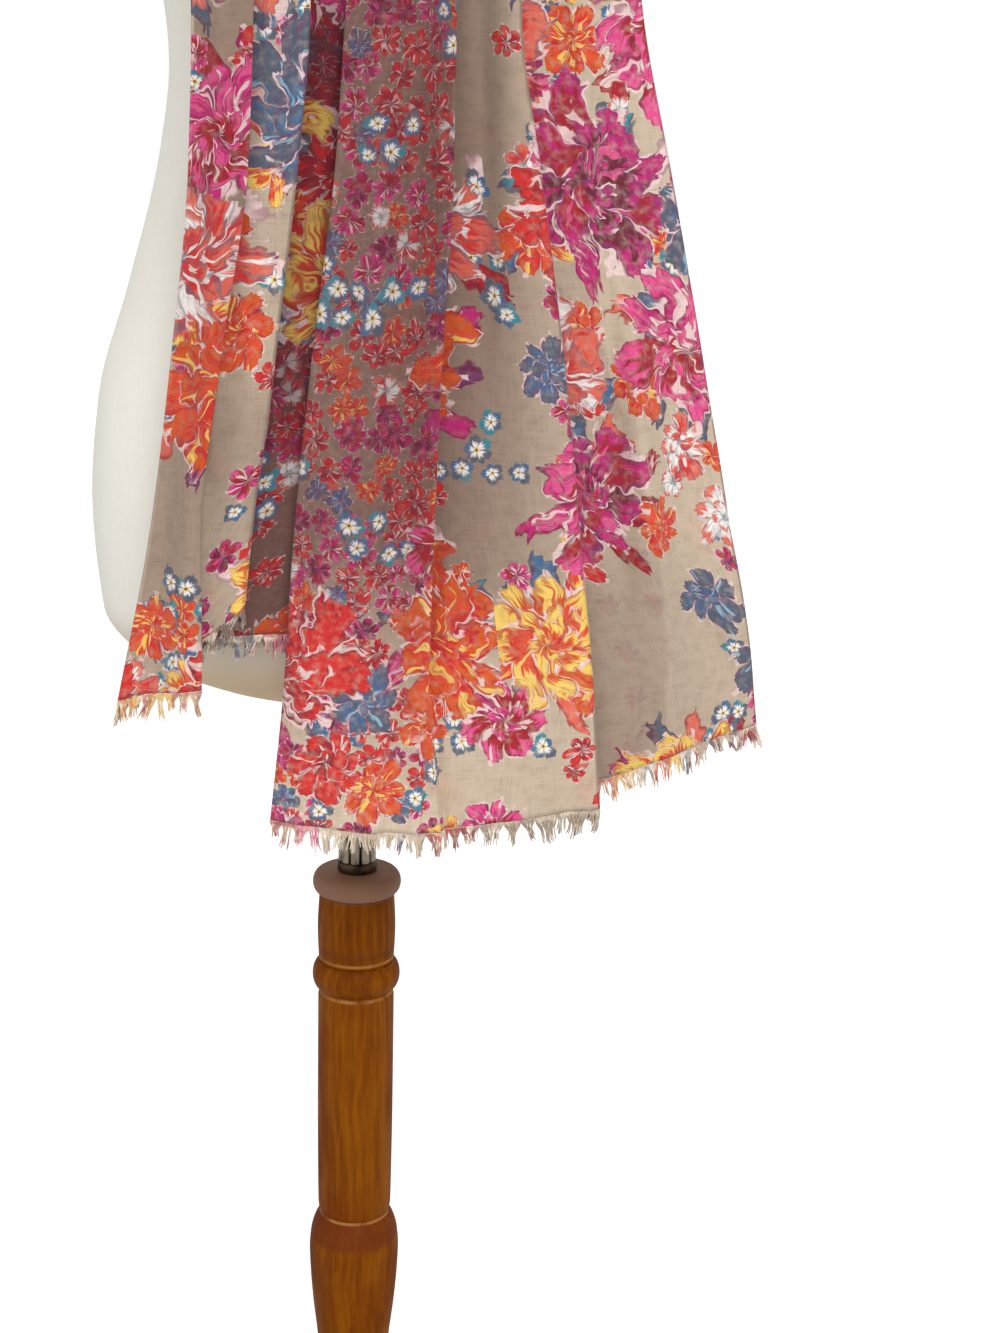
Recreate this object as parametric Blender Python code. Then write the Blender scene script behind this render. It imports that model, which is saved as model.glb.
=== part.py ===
"""A printed, fringed scarf round the neck of a limbless dress form on a turned post.

The form faces -Y and +Z is up.  The origin is the middle of the base's underside,
on the post's own axis.  Lengths are in metres.

The scarf is one long strip, folded over itself five times along its length into
six layers.  FOLD KEYS 0 to 6 are the lines where its cross-section turns: key 0
is the selvage of the outermost layer, keys 1 to 5 are folds, and key 6 is the
selvage of the innermost layer.  Every section of the strip is worked out from
its seven keys, so each table below has one column for each of them.
"""

import math
from collections import namedtuple

import bmesh
import bpy
import numpy as np
from mathutils import Vector

# ---------------------------------------------------------------- driving sizes

FIT_GAP = 0.0003            # what seated pieces keep between them

BASE_RADIUS = 0.190
BASE_HEIGHT = 0.028
POST_TOP = 0.5515
FERRULE_RADIUS = 0.0130
FERRULE_HEIGHT = 0.0070
ROD_RADIUS = 0.0125
ROD_FLUTES = 10
ROD_FLUTE_DEPTH = 0.0016
FORM_UNDERSIDE = 0.676
FORM_TOP = 1.520

CLOTH = 0.0012              # the cloth's wall
LAYERS = 6
NECK_PARTS = (3, 3, 3, 3, 3, 3)     # straight stretches in each layer of a section
LEFT_PARTS = (3, 4, 3, 4, 4, 4)
RIGHT_PARTS = (4, 2, 4, 2, 6, 3)
NECK_STACK = 0.0175         # the stack of layers, innermost to outermost
SEAT = 0.0009               # innermost layer's middle to the line it lies along

HEM_GAP = 0.0005            # the strip of fringe to the cloth above it
FRINGE_STRIP = 0.0030       # the narrow edge that the fringe is rooted in
FRINGE_LENGTH = 0.0150
FRINGE_PITCH = 0.0061
FRINGE_TIP = 0.35           # a strand's tip, as a share of its root
FRINGE_UNEVEN = 0.14        # how much shorter some strands are, as a share
FRINGE_LEAN = 0.0012        # how far a strand's tip leans to a side

FORM_SIDES = 28
TURNED_SIDES = 20
BASE_SIDES = 40

# ---------------------------------------------------------------- the dress form

Ring = namedtuple("Ring", "height side front back square")

# The form's level sections: half width, reach forward and back of the post's
# axis, and squareness (2 is an ellipse).
FORM = (
    Ring(FORM_UNDERSIDE, 0.050, 0.040, 0.045, 2.0),
    Ring(0.684, 0.098, 0.076, 0.084, 2.0),
    Ring(0.702, 0.138, 0.098, 0.110, 2.1),
    Ring(0.732, 0.161, 0.112, 0.124, 2.2),
    Ring(0.800, 0.1665, 0.116, 0.130, 2.2),
    Ring(0.864, 0.1610, 0.112, 0.124, 2.2),
    Ring(0.932, 0.1415, 0.101, 0.103, 2.2),
    Ring(1.010, 0.1215, 0.091, 0.083, 2.2),
    Ring(1.060, 0.1155, 0.089, 0.078, 2.2),
    Ring(1.130, 0.1240, 0.101, 0.082, 2.3),
    Ring(1.230, 0.1470, 0.132, 0.093, 2.5),
    Ring(1.300, 0.1530, 0.112, 0.100, 2.4),
    Ring(1.360, 0.1580, 0.086, 0.099, 2.3),
    Ring(1.388, 0.1540, 0.071, 0.093, 2.2),
    Ring(1.412, 0.1240, 0.060, 0.084, 2.1),
    Ring(1.438, 0.0800, 0.053, 0.071, 2.0),
    Ring(1.468, 0.0590, 0.050, 0.062, 2.0),
    Ring(FORM_TOP, 0.0530, 0.048, 0.057, 2.0),
)
FORM_STEPS = 2              # rings made for each row of the table

# The neck cap, up from the form's top: height, and how far in from the neck it is.
CapRing = namedtuple("CapRing", "height inset")
CAP = (
    CapRing(0.000, 0.002),
    CapRing(0.003, -0.001),
    CapRing(0.009, -0.001),
    CapRing(0.014, 0.006),
    CapRing(0.016, 0.014),
)

# ---------------------------------------------------------------- the turned stand

Turn = namedtuple("Turn", "height radius")
Bead = namedtuple("Bead", "middle reach radius")

BASE = (
    Turn(0.000, BASE_RADIUS - 0.0040),
    Turn(0.004, BASE_RADIUS),
    Turn(0.012, BASE_RADIUS),
    Turn(0.018, BASE_RADIUS - 0.0021),
    Turn(0.021, BASE_RADIUS - 0.0096),
    Turn(0.025, BASE_RADIUS - 0.0450),
    Turn(BASE_HEIGHT, 0.0600),
)

# One land and groove of the rod: share of the way to the next one, and radius.
FLUTE = (
    (0.00, ROD_RADIUS),
    (0.38, ROD_RADIUS),
    (0.62, ROD_RADIUS),
    (0.81, ROD_RADIUS - ROD_FLUTE_DEPTH),
)

TOP_BEAD = Bead(0.5440, 0.0075, 0.0291)
LOW_BEAD = Bead(0.4790, 0.0098, 0.0291)
BEAD_ROUND = 0.0052         # how far a bead stands out of the post

# Under the top bead, down to the base.
POST = (
    Turn(0.5360, 0.0247),
    Turn(0.5120, 0.0258),
    Turn(0.4900, 0.0250),
    LOW_BEAD,
    Turn(0.4670, 0.0238),
    Turn(0.4635, 0.0253),
    Turn(0.3900, 0.0254),
    Turn(0.3100, 0.0247),
    Turn(0.3040, 0.0236),
    Turn(0.3000, 0.0262),
    Turn(0.2900, 0.0294),
    Turn(0.2760, 0.0306),
    Turn(0.2580, 0.0299),
    Turn(0.2350, 0.0281),
    Turn(0.2100, 0.0252),
    Turn(0.1850, 0.0228),
    Turn(0.1650, 0.0222),
    Bead(0.1520, 0.0085, 0.0290),
    Turn(0.1390, 0.0232),
    Turn(0.0900, 0.0262),
    Turn(0.0500, 0.0300),
    Turn(BASE_HEIGHT + FIT_GAP, 0.0350),
)

# ---------------------------------------------------------------- the scarf

Collar = namedtuple("Collar", "place inner outer k0 k1 k2 k3 k4 k5 k6")
Tail = namedtuple("Tail", "height depth bow crown stack k0 k1 k2 k3 k4 k5 k6")

# Round the neck, for the wearer's left, and mirrored for the right: the inner
# and outer edge of the innermost layer, and the keys outward from the inner edge.
COLLAR = (
    Collar("nape", (0.000, 0.0690, 1.493), (0.000, 0.1000, 1.415),
           0.000, 0.070, 0.005, 0.077, 0.011, 0.084, 0.015),
    Collar("yoke", (0.0480, 0.0520, 1.475), (0.103, 0.0840, 1.413),
           0.000, 0.075, 0.007, 0.082, 0.012, 0.093, 0.019),
    Collar("shoulder", (0.0640, 0.0060, 1.460), (0.139, 0.0110, 1.415),
           0.000, 0.073, 0.006, 0.085, 0.016, 0.094, 0.021),
    Collar("collarbone", (0.0480, -0.0550, 1.426), (0.129, -0.0400, 1.394),
           0.000, 0.066, 0.005, 0.079, 0.014, 0.092, 0.019),
)

# Down the front: the innermost layer's place forward of the axis, how fast the
# section curls back on each side of its crown, the depth of the stack, and the
# keys' distances from the middle of the form.
TAIL_LEFT = (
    Tail(1.335, -0.1060, 1.8, 0.045, 0.0175, 0.038, 0.106, 0.032, 0.104, 0.028, 0.112, 0.034),
    Tail(1.230, -0.1350, 1.4, 0.045, 0.0175, 0.054, 0.096, 0.030, 0.092, 0.004, 0.094, 0.006),
    Tail(1.090, -0.1290, 1.2, 0.040, 0.0175, 0.057, 0.090, 0.028, 0.084, -0.014, 0.082, -0.020),
    Tail(1.000, -0.1240, 1.2, 0.040, 0.0175, 0.061, 0.093, 0.035, 0.088, -0.008, 0.084, -0.014),
    Tail(0.900, -0.1220, 1.2, 0.040, 0.0180, 0.076, 0.104, 0.047, 0.098, 0.004, 0.094, -0.004),
    Tail(0.800, -0.1200, 1.2, 0.040, 0.0190, 0.088, 0.118, 0.058, 0.110, 0.018, 0.106, 0.008),
    Tail(0.700, -0.1180, 1.2, 0.040, 0.0200, 0.089, 0.138, 0.065, 0.122, 0.030, 0.114, 0.022),
)
TAIL_RIGHT = (
    Tail(1.335, -0.1060, 1.8, 0.045, 0.0175, 0.030, 0.086, 0.034, 0.100, 0.044, 0.120, 0.050),
    Tail(1.230, -0.1350, 1.6, 0.050, 0.0175, 0.006, 0.060, 0.014, 0.086, 0.034, 0.132, 0.048),
    Tail(1.090, -0.1330, 1.8, 0.050, 0.0175, -0.009, 0.048, 0.006, 0.082, 0.030, 0.150, 0.066),
    Tail(1.000, -0.1320, 1.8, 0.050, 0.0175, -0.015, 0.048, 0.012, 0.096, 0.046, 0.172, 0.100),
    Tail(0.900, -0.1310, 1.8, 0.050, 0.0180, -0.027, 0.044, 0.020, 0.112, 0.064, 0.197, 0.137),
    Tail(0.800, -0.1300, 1.8, 0.050, 0.0190, -0.037, 0.041, 0.028, 0.125, 0.080, 0.220, 0.168),
    Tail(0.710, -0.1290, 1.8, 0.050, 0.0200, -0.043, 0.039, 0.040, 0.136, 0.098, 0.237, 0.181),
    Tail(0.630, -0.1280, 1.8, 0.050, 0.0200, -0.051, 0.036, 0.050, 0.143, 0.106, 0.247, 0.183),
)

Hem = namedtuple("Hem", "starts k0 k1 k2 k3 k4 k5 k6")

# Each key's height at the hem; below "starts" the cloth runs down to these.
HEM_LEFT = Hem(0.860, 0.712, 0.702, 0.758, 0.738, 0.742, 0.746, 0.750)
HEM_RIGHT = Hem(0.800, 0.630, 0.628, 0.629, 0.638, 0.643, 0.672, 0.705)

# Long soft ripples that hang through all the layers of a tail: their height at
# the hem, their spacing, and where they run out.
Ripple = namedtuple("Ripple", "height spacing shift starts")
RIPPLE_LEFT = Ripple(0.0018, 0.070, 0.4, 1.05)
RIPPLE_RIGHT = Ripple(0.0026, 0.084, 1.9, 1.05)

TAIL_STEPS = 3              # sections made for each row of a tail's table
COLLAR_STEPS = 3

# ---------------------------------------------------------------- finishes

Finish = namedtuple("Finish", "colour roughness metallic")

FINISHES = {
    "printed_cloth": Finish((0.42, 0.22, 0.16), 0.85, 0.0),
    "fringe_yarn": Finish((0.56, 0.45, 0.36), 0.90, 0.0),
    "cream_linen": Finish((0.78, 0.75, 0.66), 0.92, 0.0),
    "stained_wood": Finish((0.24, 0.10, 0.03), 0.38, 0.0),
    "aged_metal": Finish((0.25, 0.21, 0.17), 0.42, 1.0),
    "dark_metal": Finish((0.05, 0.04, 0.03), 0.50, 1.0),
}


def finish(name):
    """The material of that name, made the first time it is asked for."""
    if name in bpy.data.materials:
        return bpy.data.materials[name]
    look = FINISHES[name]
    material = bpy.data.materials.new(name)
    material.use_nodes = True
    shader = material.node_tree.nodes["Principled BSDF"]
    shader.inputs["Base Color"].default_value = (*look.colour, 1.0)
    shader.inputs["Roughness"].default_value = look.roughness
    shader.inputs["Metallic"].default_value = look.metallic
    return material


# ---------------------------------------------------------------- shared tools

def follow(at, knots, values):
    """Values at "at", on smooth curves through the knots that never overshoot."""
    at = np.atleast_1d(np.asarray(at, float))
    knots = np.asarray(knots, float)
    values = np.asarray(values, float).reshape(len(knots), -1)
    spans = np.diff(knots)[:, None]
    rises = np.diff(values, axis=0) / spans
    slopes = np.zeros_like(values)
    slopes[0], slopes[-1] = rises[0], rises[-1]
    same_way = rises[:-1] * rises[1:] > 0
    total = np.where(same_way, rises[:-1] + rises[1:], 1.0)
    slopes[1:-1] = np.where(same_way, 2 * rises[:-1] * rises[1:] / total, 0.0)
    i = np.clip(np.searchsorted(knots, at, side="right") - 1, 0, len(knots) - 2)
    span = spans[i]
    t = (at - knots[i])[:, None] / span
    return (
        values[i] * (1 + 2 * t) * (1 - t) ** 2
        + slopes[i] * span * t * (1 - t) ** 2
        + values[i + 1] * t * t * (3 - 2 * t)
        + slopes[i + 1] * span * t * t * (t - 1)
    )


def place(bm, name, finish_name, smooth_below=40):
    """Turns a finished bmesh into a named object with its finish."""
    bmesh.ops.recalc_face_normals(bm, faces=bm.faces)
    mesh = bpy.data.meshes.new(name)
    bm.to_mesh(mesh)
    bm.free()
    mesh.shade_smooth()
    mesh.set_sharp_from_angle(angle=math.radians(smooth_below))
    mesh.materials.append(finish(finish_name))
    body = bpy.data.objects.new(name, mesh)
    bpy.context.scene.collection.objects.link(body)
    return body


def loft(bm, rings):
    """Extrudes the first ring through all the others and closes both ends."""
    loop = [bm.verts.new(point) for point in rings[0]]
    edges = [bm.edges.new((a, b)) for a, b in zip(loop, loop[1:] + loop[:1])]
    bm.faces.new(loop)
    for ring in rings[1:]:
        grown = bmesh.ops.extrude_edge_only(bm, edges=edges)["geom"]
        edges = [e for e in grown if isinstance(e, bmesh.types.BMEdge) and len(e.link_faces) == 1]
        follows = {}
        for vert in loop:
            for edge in vert.link_edges:
                other = edge.other_vert(vert)
                if other in grown and other not in loop:
                    follows[vert] = other
        loop = [follows[vert] for vert in loop]
        for vert, point in zip(loop, ring):
            vert.co = point
    bm.faces.new(loop)


def round_ring(height, side, front, back, square, sides):
    """One level ring, round or squarer, counted from +X towards +Y."""
    points = []
    for n in range(sides):
        turn = 2 * math.pi * n / sides
        across, along = math.cos(turn), math.sin(turn)
        x = side * math.copysign(abs(across) ** (2 / square), across)
        y = (back if along > 0 else front) * math.copysign(abs(along) ** (2 / square), along)
        points.append(Vector((x, y, height)))
    return points


def turned(name, profile, finish_name, sides=TURNED_SIDES):
    """A solid of revolution about the post's axis, from heights and radii."""
    bm = bmesh.new()
    loft(bm, [round_ring(t.height, t.radius, t.radius, t.radius, 2, sides) for t in profile])
    return place(bm, name, finish_name)


def bead_profile(bead, steps=6):
    """A bead's half round, from its top edge to its lower edge."""
    turns = []
    for n in range(steps + 1):
        angle = math.pi * (0.5 - n / steps)
        turns.append(Turn(
            bead.middle + bead.reach * math.sin(angle),
            bead.radius - BEAD_ROUND + BEAD_ROUND * math.cos(angle),
        ))
    return turns


# ---------------------------------------------------------------- stand and form

def build_post():
    profile = bead_profile(TOP_BEAD)
    for row in POST:
        profile += bead_profile(row) if isinstance(row, Bead) else [row]
    turned("post", profile, "stained_wood")


def build_rod():
    """The fluted rod between the ferrule and the form."""
    bottom = POST_TOP + FERRULE_HEIGHT + 2 * FIT_GAP
    top = FORM_UNDERSIDE - FIT_GAP
    outline = []
    for flute in range(ROD_FLUTES):
        for share, radius in FLUTE:
            turn = 2 * math.pi * (flute + share) / ROD_FLUTES
            outline.append((radius * math.cos(turn), radius * math.sin(turn)))
    bm = bmesh.new()
    loft(bm, [[Vector((x, y, height)) for x, y in outline] for height in (bottom, top)])
    place(bm, "rod", "aged_metal")

    low = POST_TOP + FIT_GAP
    turned("ferrule", [
        Turn(low, FERRULE_RADIUS),
        Turn(low + 0.8 * FERRULE_HEIGHT, FERRULE_RADIUS),
        Turn(low + FERRULE_HEIGHT, FERRULE_RADIUS - 0.0008),
    ], "dark_metal")


def form_rings():
    """The form's sections, with FORM_STEPS of them for each row of its table."""
    heights = [row.height for row in FORM]
    at = np.interp(
        np.arange(FORM_STEPS * (len(FORM) - 1) + 1) / FORM_STEPS, np.arange(len(FORM)), heights
    )
    return [Ring(z, *row) for z, row in zip(at, follow(at, heights, [row[1:] for row in FORM]))]


def build_form():
    bm = bmesh.new()
    loft(bm, [round_ring(*ring, FORM_SIDES) for ring in form_rings()])
    place(bm, "torso", "cream_linen", 60)

    low = FORM_TOP + FIT_GAP
    top = FORM[-1]
    rings = []
    for height, inset in CAP:
        rings.append(round_ring(low + height, top.side - inset, top.front - inset,
                                top.back - inset, 2.0, TURNED_SIDES))
    bm = bmesh.new()
    loft(bm, rings)
    place(bm, "neck_cap", "stained_wood")


# ---------------------------------------------------------------- the scarf

Section = namedtuple("Section", "origin across outward bow crown stack keys")
NAPE_CROWN = 0.045          # the collar's sections have no bow, so any crown serves


def section_rows():
    """All the tables' rows from the left hem to the right, as one path.

    Returns how far along the path each row is, and its values: the origin, the
    direction across, bow, crown, stack and the seven keys.
    """
    rows = []

    def tail_row(row, side):
        rows.append([0.0, row.depth, row.height, side, 0.0, 0.0, *row[2:]])

    def collar_row(row, side):
        inner = Vector(row.inner)
        reach = (Vector(row.outer) - inner).normalized()
        rows.append([side * inner.x, inner.y, inner.z, side * reach.x, reach.y, reach.z,
                     0.0, NAPE_CROWN, NECK_STACK, *row[3:]])

    for row in reversed(TAIL_LEFT):
        tail_row(row, -1)
    for row in reversed(COLLAR):
        collar_row(row, -1)
    for row in COLLAR[1:]:
        collar_row(row, 1)
    for row in TAIL_RIGHT:
        tail_row(row, 1)
    rows = np.array(rows)
    keys = rows[:, 9:]
    middle = rows[:, 0:3] + rows[:, 3:6] * ((keys.min(axis=1) + keys.max(axis=1)) / 2)[:, None]
    along = np.concatenate([[0.0], np.cumsum(np.linalg.norm(np.diff(middle, axis=0), axis=1))])
    return along, rows


ALONG, ROWS = section_rows()
LEFT_SEAM = ALONG[len(TAIL_LEFT) - 1]
RIGHT_SEAM = ALONG[-len(TAIL_RIGHT)]


def section_at(along):
    """The section at a distance along the path."""
    step = 0.002
    low, here, high = follow([along - step, along, along + step], ALONG, ROWS)
    across = Vector(here[3:6]).normalized()

    def middle(row):
        keys = row[9:]
        return Vector(row[0:3]) + Vector(row[3:6]) * float((keys.min() + keys.max()) / 2)

    onward = (middle(high) - middle(low)).normalized()
    outward = onward.cross(across).normalized()
    return Section(Vector(here[0:3]), across, outward, here[6], here[7], here[8], here[9:])


def folded_line(keys, stack, parts):
    """The folded cross-section: (key position, across, depth) for each point.

    parts gives how many straight stretches each layer has.  A layer runs from
    one key to the next, and the layers lie side by side through the stack.  A
    key whose neighbours are on both sides of it is a pleat that has opened, so
    the line just steps from one depth to the next there.
    """
    depths = [stack * (1 - n / (LAYERS - 1)) for n in range(LAYERS)]
    bend = stack / (LAYERS - 1) / 2
    ways = [float(np.clip((b - a) / (4 * bend), -1, 1)) for a, b in zip(keys, keys[1:])]
    points = []
    for layer in range(LAYERS):
        way = ways[layer]
        spread = 0.5 + 0.5 * abs(way)
        start, end = [keys[layer], depths[layer]], [keys[layer + 1], depths[layer]]
        if layer > 0:
            mid = (depths[layer - 1] + depths[layer]) / 2
            points.append((float(layer), keys[layer], mid))
            start = [keys[layer] + way * bend, mid + (depths[layer] - mid) * spread]
        if layer < LAYERS - 1:
            mid = (depths[layer] + depths[layer + 1]) / 2
            end = [keys[layer + 1] - way * bend, mid + (depths[layer] - mid) * spread]
        for n in range(parts[layer] + 1):
            share = n / parts[layer]
            points.append((
                layer + 0.02 + 0.96 * share,
                start[0] + (end[0] - start[0]) * share,
                start[1] + (end[1] - start[1]) * share,
            ))
    return points


def cloth_line(along, parts):
    """The scarf's middle surface across one section, as points in space."""
    section = section_at(along)
    right = along > (LEFT_SEAM + RIGHT_SEAM) / 2
    hem, ripple = (HEM_RIGHT, RIPPLE_RIGHT) if right else (HEM_LEFT, RIPPLE_LEFT)
    lowest = ROWS[-1 if right else 0][2]
    points = []
    for key, across, depth in folded_line(section.keys, section.stack, parts):
        base = section.origin.z
        sway = max(0.0, (ripple.starts - base) / (ripple.starts - lowest))
        lift = (
            depth + SEAT
            - section.bow * (across - section.crown) ** 2
            + ripple.height * sway * math.sin(2 * math.pi * across / ripple.spacing + ripple.shift)
        )
        point = section.origin + section.across * across + section.outward * lift
        if base < hem.starts:
            ends = np.interp(key, range(LAYERS + 1), hem[1:])
            point.z += (hem.starts - base) / (hem.starts - lowest) * (ends - lowest)
        points.append(point)
    return points


def build_stretch(name, start, end, steps, parts):
    """One stretch of the scarf between two distances along its path."""
    sections = [start + (end - start) * n / steps for n in range(steps + 1)]
    rows = [cloth_line(along, parts) for along in sections]
    bm = bmesh.new()
    bmesh.ops.create_grid(bm, x_segments=len(rows[0]) - 1, y_segments=steps, size=1.0)
    bm.verts.ensure_lookup_table()
    for vert, point in zip(bm.verts, [point for row in rows for point in row]):
        vert.co = point
    body = place(bm, name, "printed_cloth", 80)
    wall = body.modifiers.new("wall", "SOLIDIFY")
    wall.thickness = CLOTH
    wall.offset = 0.0
    wall.use_even_offset = True
    return body


def build_fringe(name, along):
    """A narrow strip just under a hem, with tapered strands hanging from it."""
    section = section_at(along)
    keys = section.keys
    parts = [max(2, round(abs(b - a) / FRINGE_PITCH)) for a, b in zip(keys, keys[1:])]
    line = cloth_line(along, parts)
    half = CLOTH / 2
    rings = []
    for n, point in enumerate(line):
        before, after = line[max(n - 1, 0)], line[min(n + 1, len(line) - 1)]
        run = Vector((after.x - before.x, after.y - before.y, 0.0)).normalized()
        side = Vector((-run.y, run.x, 0.0)) * half
        top = point - Vector((0.0, 0.0, HEM_GAP))
        low = top - Vector((0.0, 0.0, FRINGE_STRIP))
        rings.append([top + side, top - side, low - side, low + side])
    bm = bmesh.new()
    loft(bm, rings)
    bm.faces.ensure_lookup_table()
    bm.normal_update()
    wide = 0.5 * FRINGE_PITCH
    roots = []
    for face in bm.faces:
        middle = face.calc_center_median()
        longest = max(edge.calc_length() for edge in face.edges)
        if len(face.verts) == 4 and longest > wide and is_underside(face, rings):
            roots.append((middle.copy(), face))
    grown = bmesh.ops.extrude_discrete_faces(bm, faces=[face for _, face in roots])["faces"]
    for n, face in enumerate(grown):
        middle = face.calc_center_median()
        uneven = 0.5 - 0.5 * math.sin(2.3 * n) * math.cos(0.7 * n)
        length = FRINGE_LENGTH * (1 - 2 * FRINGE_UNEVEN * uneven)
        lean = FRINGE_LEAN * math.sin(1.7 * n)
        for vert in face.verts:
            vert.co = middle + (vert.co - middle) * FRINGE_TIP + Vector((lean, 0.0, -length))
    place(bm, name, "fringe_yarn", 30)


def is_underside(face, rings):
    """Whether a face of the strip joins the lower corners of two of its rings."""
    lows = [corner for ring in rings for corner in ring[2:]]
    return all(min((vert.co - low).length for low in lows) < 1e-6 for vert in face.verts)


def build_scarf():
    half_gap = FIT_GAP / 2
    tail_left = TAIL_STEPS * (len(TAIL_LEFT) - 1)
    tail_right = TAIL_STEPS * (len(TAIL_RIGHT) - 1)
    collar = COLLAR_STEPS * 2 * len(COLLAR)
    build_stretch("scarf_tail_left", ALONG[0], LEFT_SEAM - half_gap, tail_left, LEFT_PARTS)
    build_stretch("scarf_neck", LEFT_SEAM + half_gap, RIGHT_SEAM - half_gap, collar, NECK_PARTS)
    build_stretch("scarf_tail_right", RIGHT_SEAM + half_gap, ALONG[-1], tail_right, RIGHT_PARTS)
    build_fringe("fringe_left", ALONG[0])
    build_fringe("fringe_right", ALONG[-1])


def main():
    for thing in list(bpy.data.objects):
        bpy.data.objects.remove(thing, do_unlink=True)
    turned("base", BASE, "stained_wood", BASE_SIDES)
    build_post()
    build_rod()
    build_form()
    build_scarf()


main()
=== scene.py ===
"""The looks of a printed, fringed scarf round the neck of a limbless dress form.

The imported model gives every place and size.  The cloth, its fringe, the form and the
turned stand are made again here from the same driving sizes, finer, and each gets its
own finish.  Lengths are in metres, the form faces -Y and +Z is up.

The scarf is one strip folded over itself into six layers.  Its seven FOLD KEYS, 0 to 6,
are the lines where a cross-section turns, from the outermost selvage to the innermost.
"""

import math
import random
from collections import namedtuple

import bmesh
import bpy
import numpy as np
from mathutils import Matrix, Vector, noise


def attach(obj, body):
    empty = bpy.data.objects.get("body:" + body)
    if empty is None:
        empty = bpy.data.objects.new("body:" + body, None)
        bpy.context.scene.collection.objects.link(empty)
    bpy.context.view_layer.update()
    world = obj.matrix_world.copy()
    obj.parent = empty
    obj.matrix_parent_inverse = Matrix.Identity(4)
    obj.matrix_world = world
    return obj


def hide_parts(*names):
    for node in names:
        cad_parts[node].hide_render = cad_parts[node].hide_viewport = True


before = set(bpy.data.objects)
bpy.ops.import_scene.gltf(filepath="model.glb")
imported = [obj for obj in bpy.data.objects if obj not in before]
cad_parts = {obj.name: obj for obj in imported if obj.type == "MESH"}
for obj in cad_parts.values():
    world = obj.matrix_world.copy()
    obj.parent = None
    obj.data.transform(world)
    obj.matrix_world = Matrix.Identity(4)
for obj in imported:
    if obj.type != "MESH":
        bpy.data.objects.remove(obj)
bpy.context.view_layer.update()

# ---------------------------------------------------------------- the form and the stand

FIT_GAP = 0.0003            # what seated pieces keep between them
POST_TOP = 0.5515
FERRULE_RADIUS = 0.0130
FERRULE_HEIGHT = 0.0070
ROD_RADIUS = 0.0125
ROD_FLUTES = 10
FORM_UNDERSIDE = 0.676
FORM_TOP = 1.520
BASE_RADIUS = 0.190
BASE_HEIGHT = 0.028

Ring = namedtuple("Ring", "height side front back square")

# The form's level sections: half width, reach forward and back of the post's axis,
# and squareness (2 is an ellipse).
FORM = (
    Ring(FORM_UNDERSIDE, 0.050, 0.040, 0.045, 2.0),
    Ring(0.684, 0.098, 0.076, 0.084, 2.0),
    Ring(0.702, 0.138, 0.098, 0.110, 2.1),
    Ring(0.732, 0.161, 0.112, 0.124, 2.2),
    Ring(0.800, 0.1665, 0.116, 0.130, 2.2),
    Ring(0.864, 0.1610, 0.112, 0.124, 2.2),
    Ring(0.932, 0.1415, 0.101, 0.103, 2.2),
    Ring(1.010, 0.1215, 0.091, 0.083, 2.2),
    Ring(1.060, 0.1155, 0.089, 0.078, 2.2),
    Ring(1.130, 0.1240, 0.101, 0.082, 2.3),
    Ring(1.230, 0.1470, 0.132, 0.093, 2.5),
    Ring(1.300, 0.1530, 0.112, 0.100, 2.4),
    Ring(1.360, 0.1580, 0.086, 0.099, 2.3),
    Ring(1.388, 0.1540, 0.071, 0.093, 2.2),
    Ring(1.412, 0.1240, 0.060, 0.084, 2.1),
    Ring(1.438, 0.0800, 0.053, 0.071, 2.0),
    Ring(1.468, 0.0590, 0.050, 0.062, 2.0),
    Ring(FORM_TOP, 0.0530, 0.048, 0.057, 2.0),
)
FORM_STEPS = 7              # rings made for each row of the table
FORM_SIDES = 128
COVER_INSET = 0.0007        # the cover lies this far inside the form's plain solid
COVER_SEAM_DEPTH = 0.0009
COVER_SEAM_WIDTH = 0.0022

# The neck cap, up from the form's top: height, and how far in from the neck it is.
CapRing = namedtuple("CapRing", "height inset")
CAP = (
    CapRing(0.000, 0.002),
    CapRing(0.003, -0.001),
    CapRing(0.009, -0.001),
    CapRing(0.014, 0.006),
    CapRing(0.016, 0.014),
)
CAP_STEPS = 25              # rings made for the whole cap

Turn = namedtuple("Turn", "height radius")
Bead = namedtuple("Bead", "middle reach radius")

BASE = (
    Turn(0.000, BASE_RADIUS - 0.0040),
    Turn(0.004, BASE_RADIUS),
    Turn(0.012, BASE_RADIUS),
    Turn(0.018, BASE_RADIUS - 0.0021),
    Turn(0.021, BASE_RADIUS - 0.0096),
    Turn(0.025, BASE_RADIUS - 0.0450),
    Turn(BASE_HEIGHT, 0.0600),
)
TOP_BEAD = Bead(0.5440, 0.0075, 0.0291)
LOW_BEAD = Bead(0.4790, 0.0098, 0.0291)
BEAD_ROUND = 0.0052         # how far a bead stands out of the post
BEAD_STEPS = 12

POST = (
    Turn(0.5360, 0.0247),
    Turn(0.5120, 0.0258),
    Turn(0.4900, 0.0250),
    LOW_BEAD,
    Turn(0.4670, 0.0238),
    Turn(0.4635, 0.0253),
    Turn(0.3900, 0.0254),
    Turn(0.3100, 0.0247),
    Turn(0.3040, 0.0236),
    Turn(0.3000, 0.0262),
    Turn(0.2900, 0.0294),
    Turn(0.2760, 0.0306),
    Turn(0.2580, 0.0299),
    Turn(0.2350, 0.0281),
    Turn(0.2100, 0.0252),
    Turn(0.1850, 0.0228),
    Turn(0.1650, 0.0222),
    Bead(0.1520, 0.0085, 0.0290),
    Turn(0.1390, 0.0232),
    Turn(0.0900, 0.0262),
    Turn(0.0500, 0.0300),
    Turn(BASE_HEIGHT + FIT_GAP, 0.0350),
)
TURNED_STEPS = 6            # rings made between two rows of a turned profile
TURNED_SIDES = 96

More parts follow.
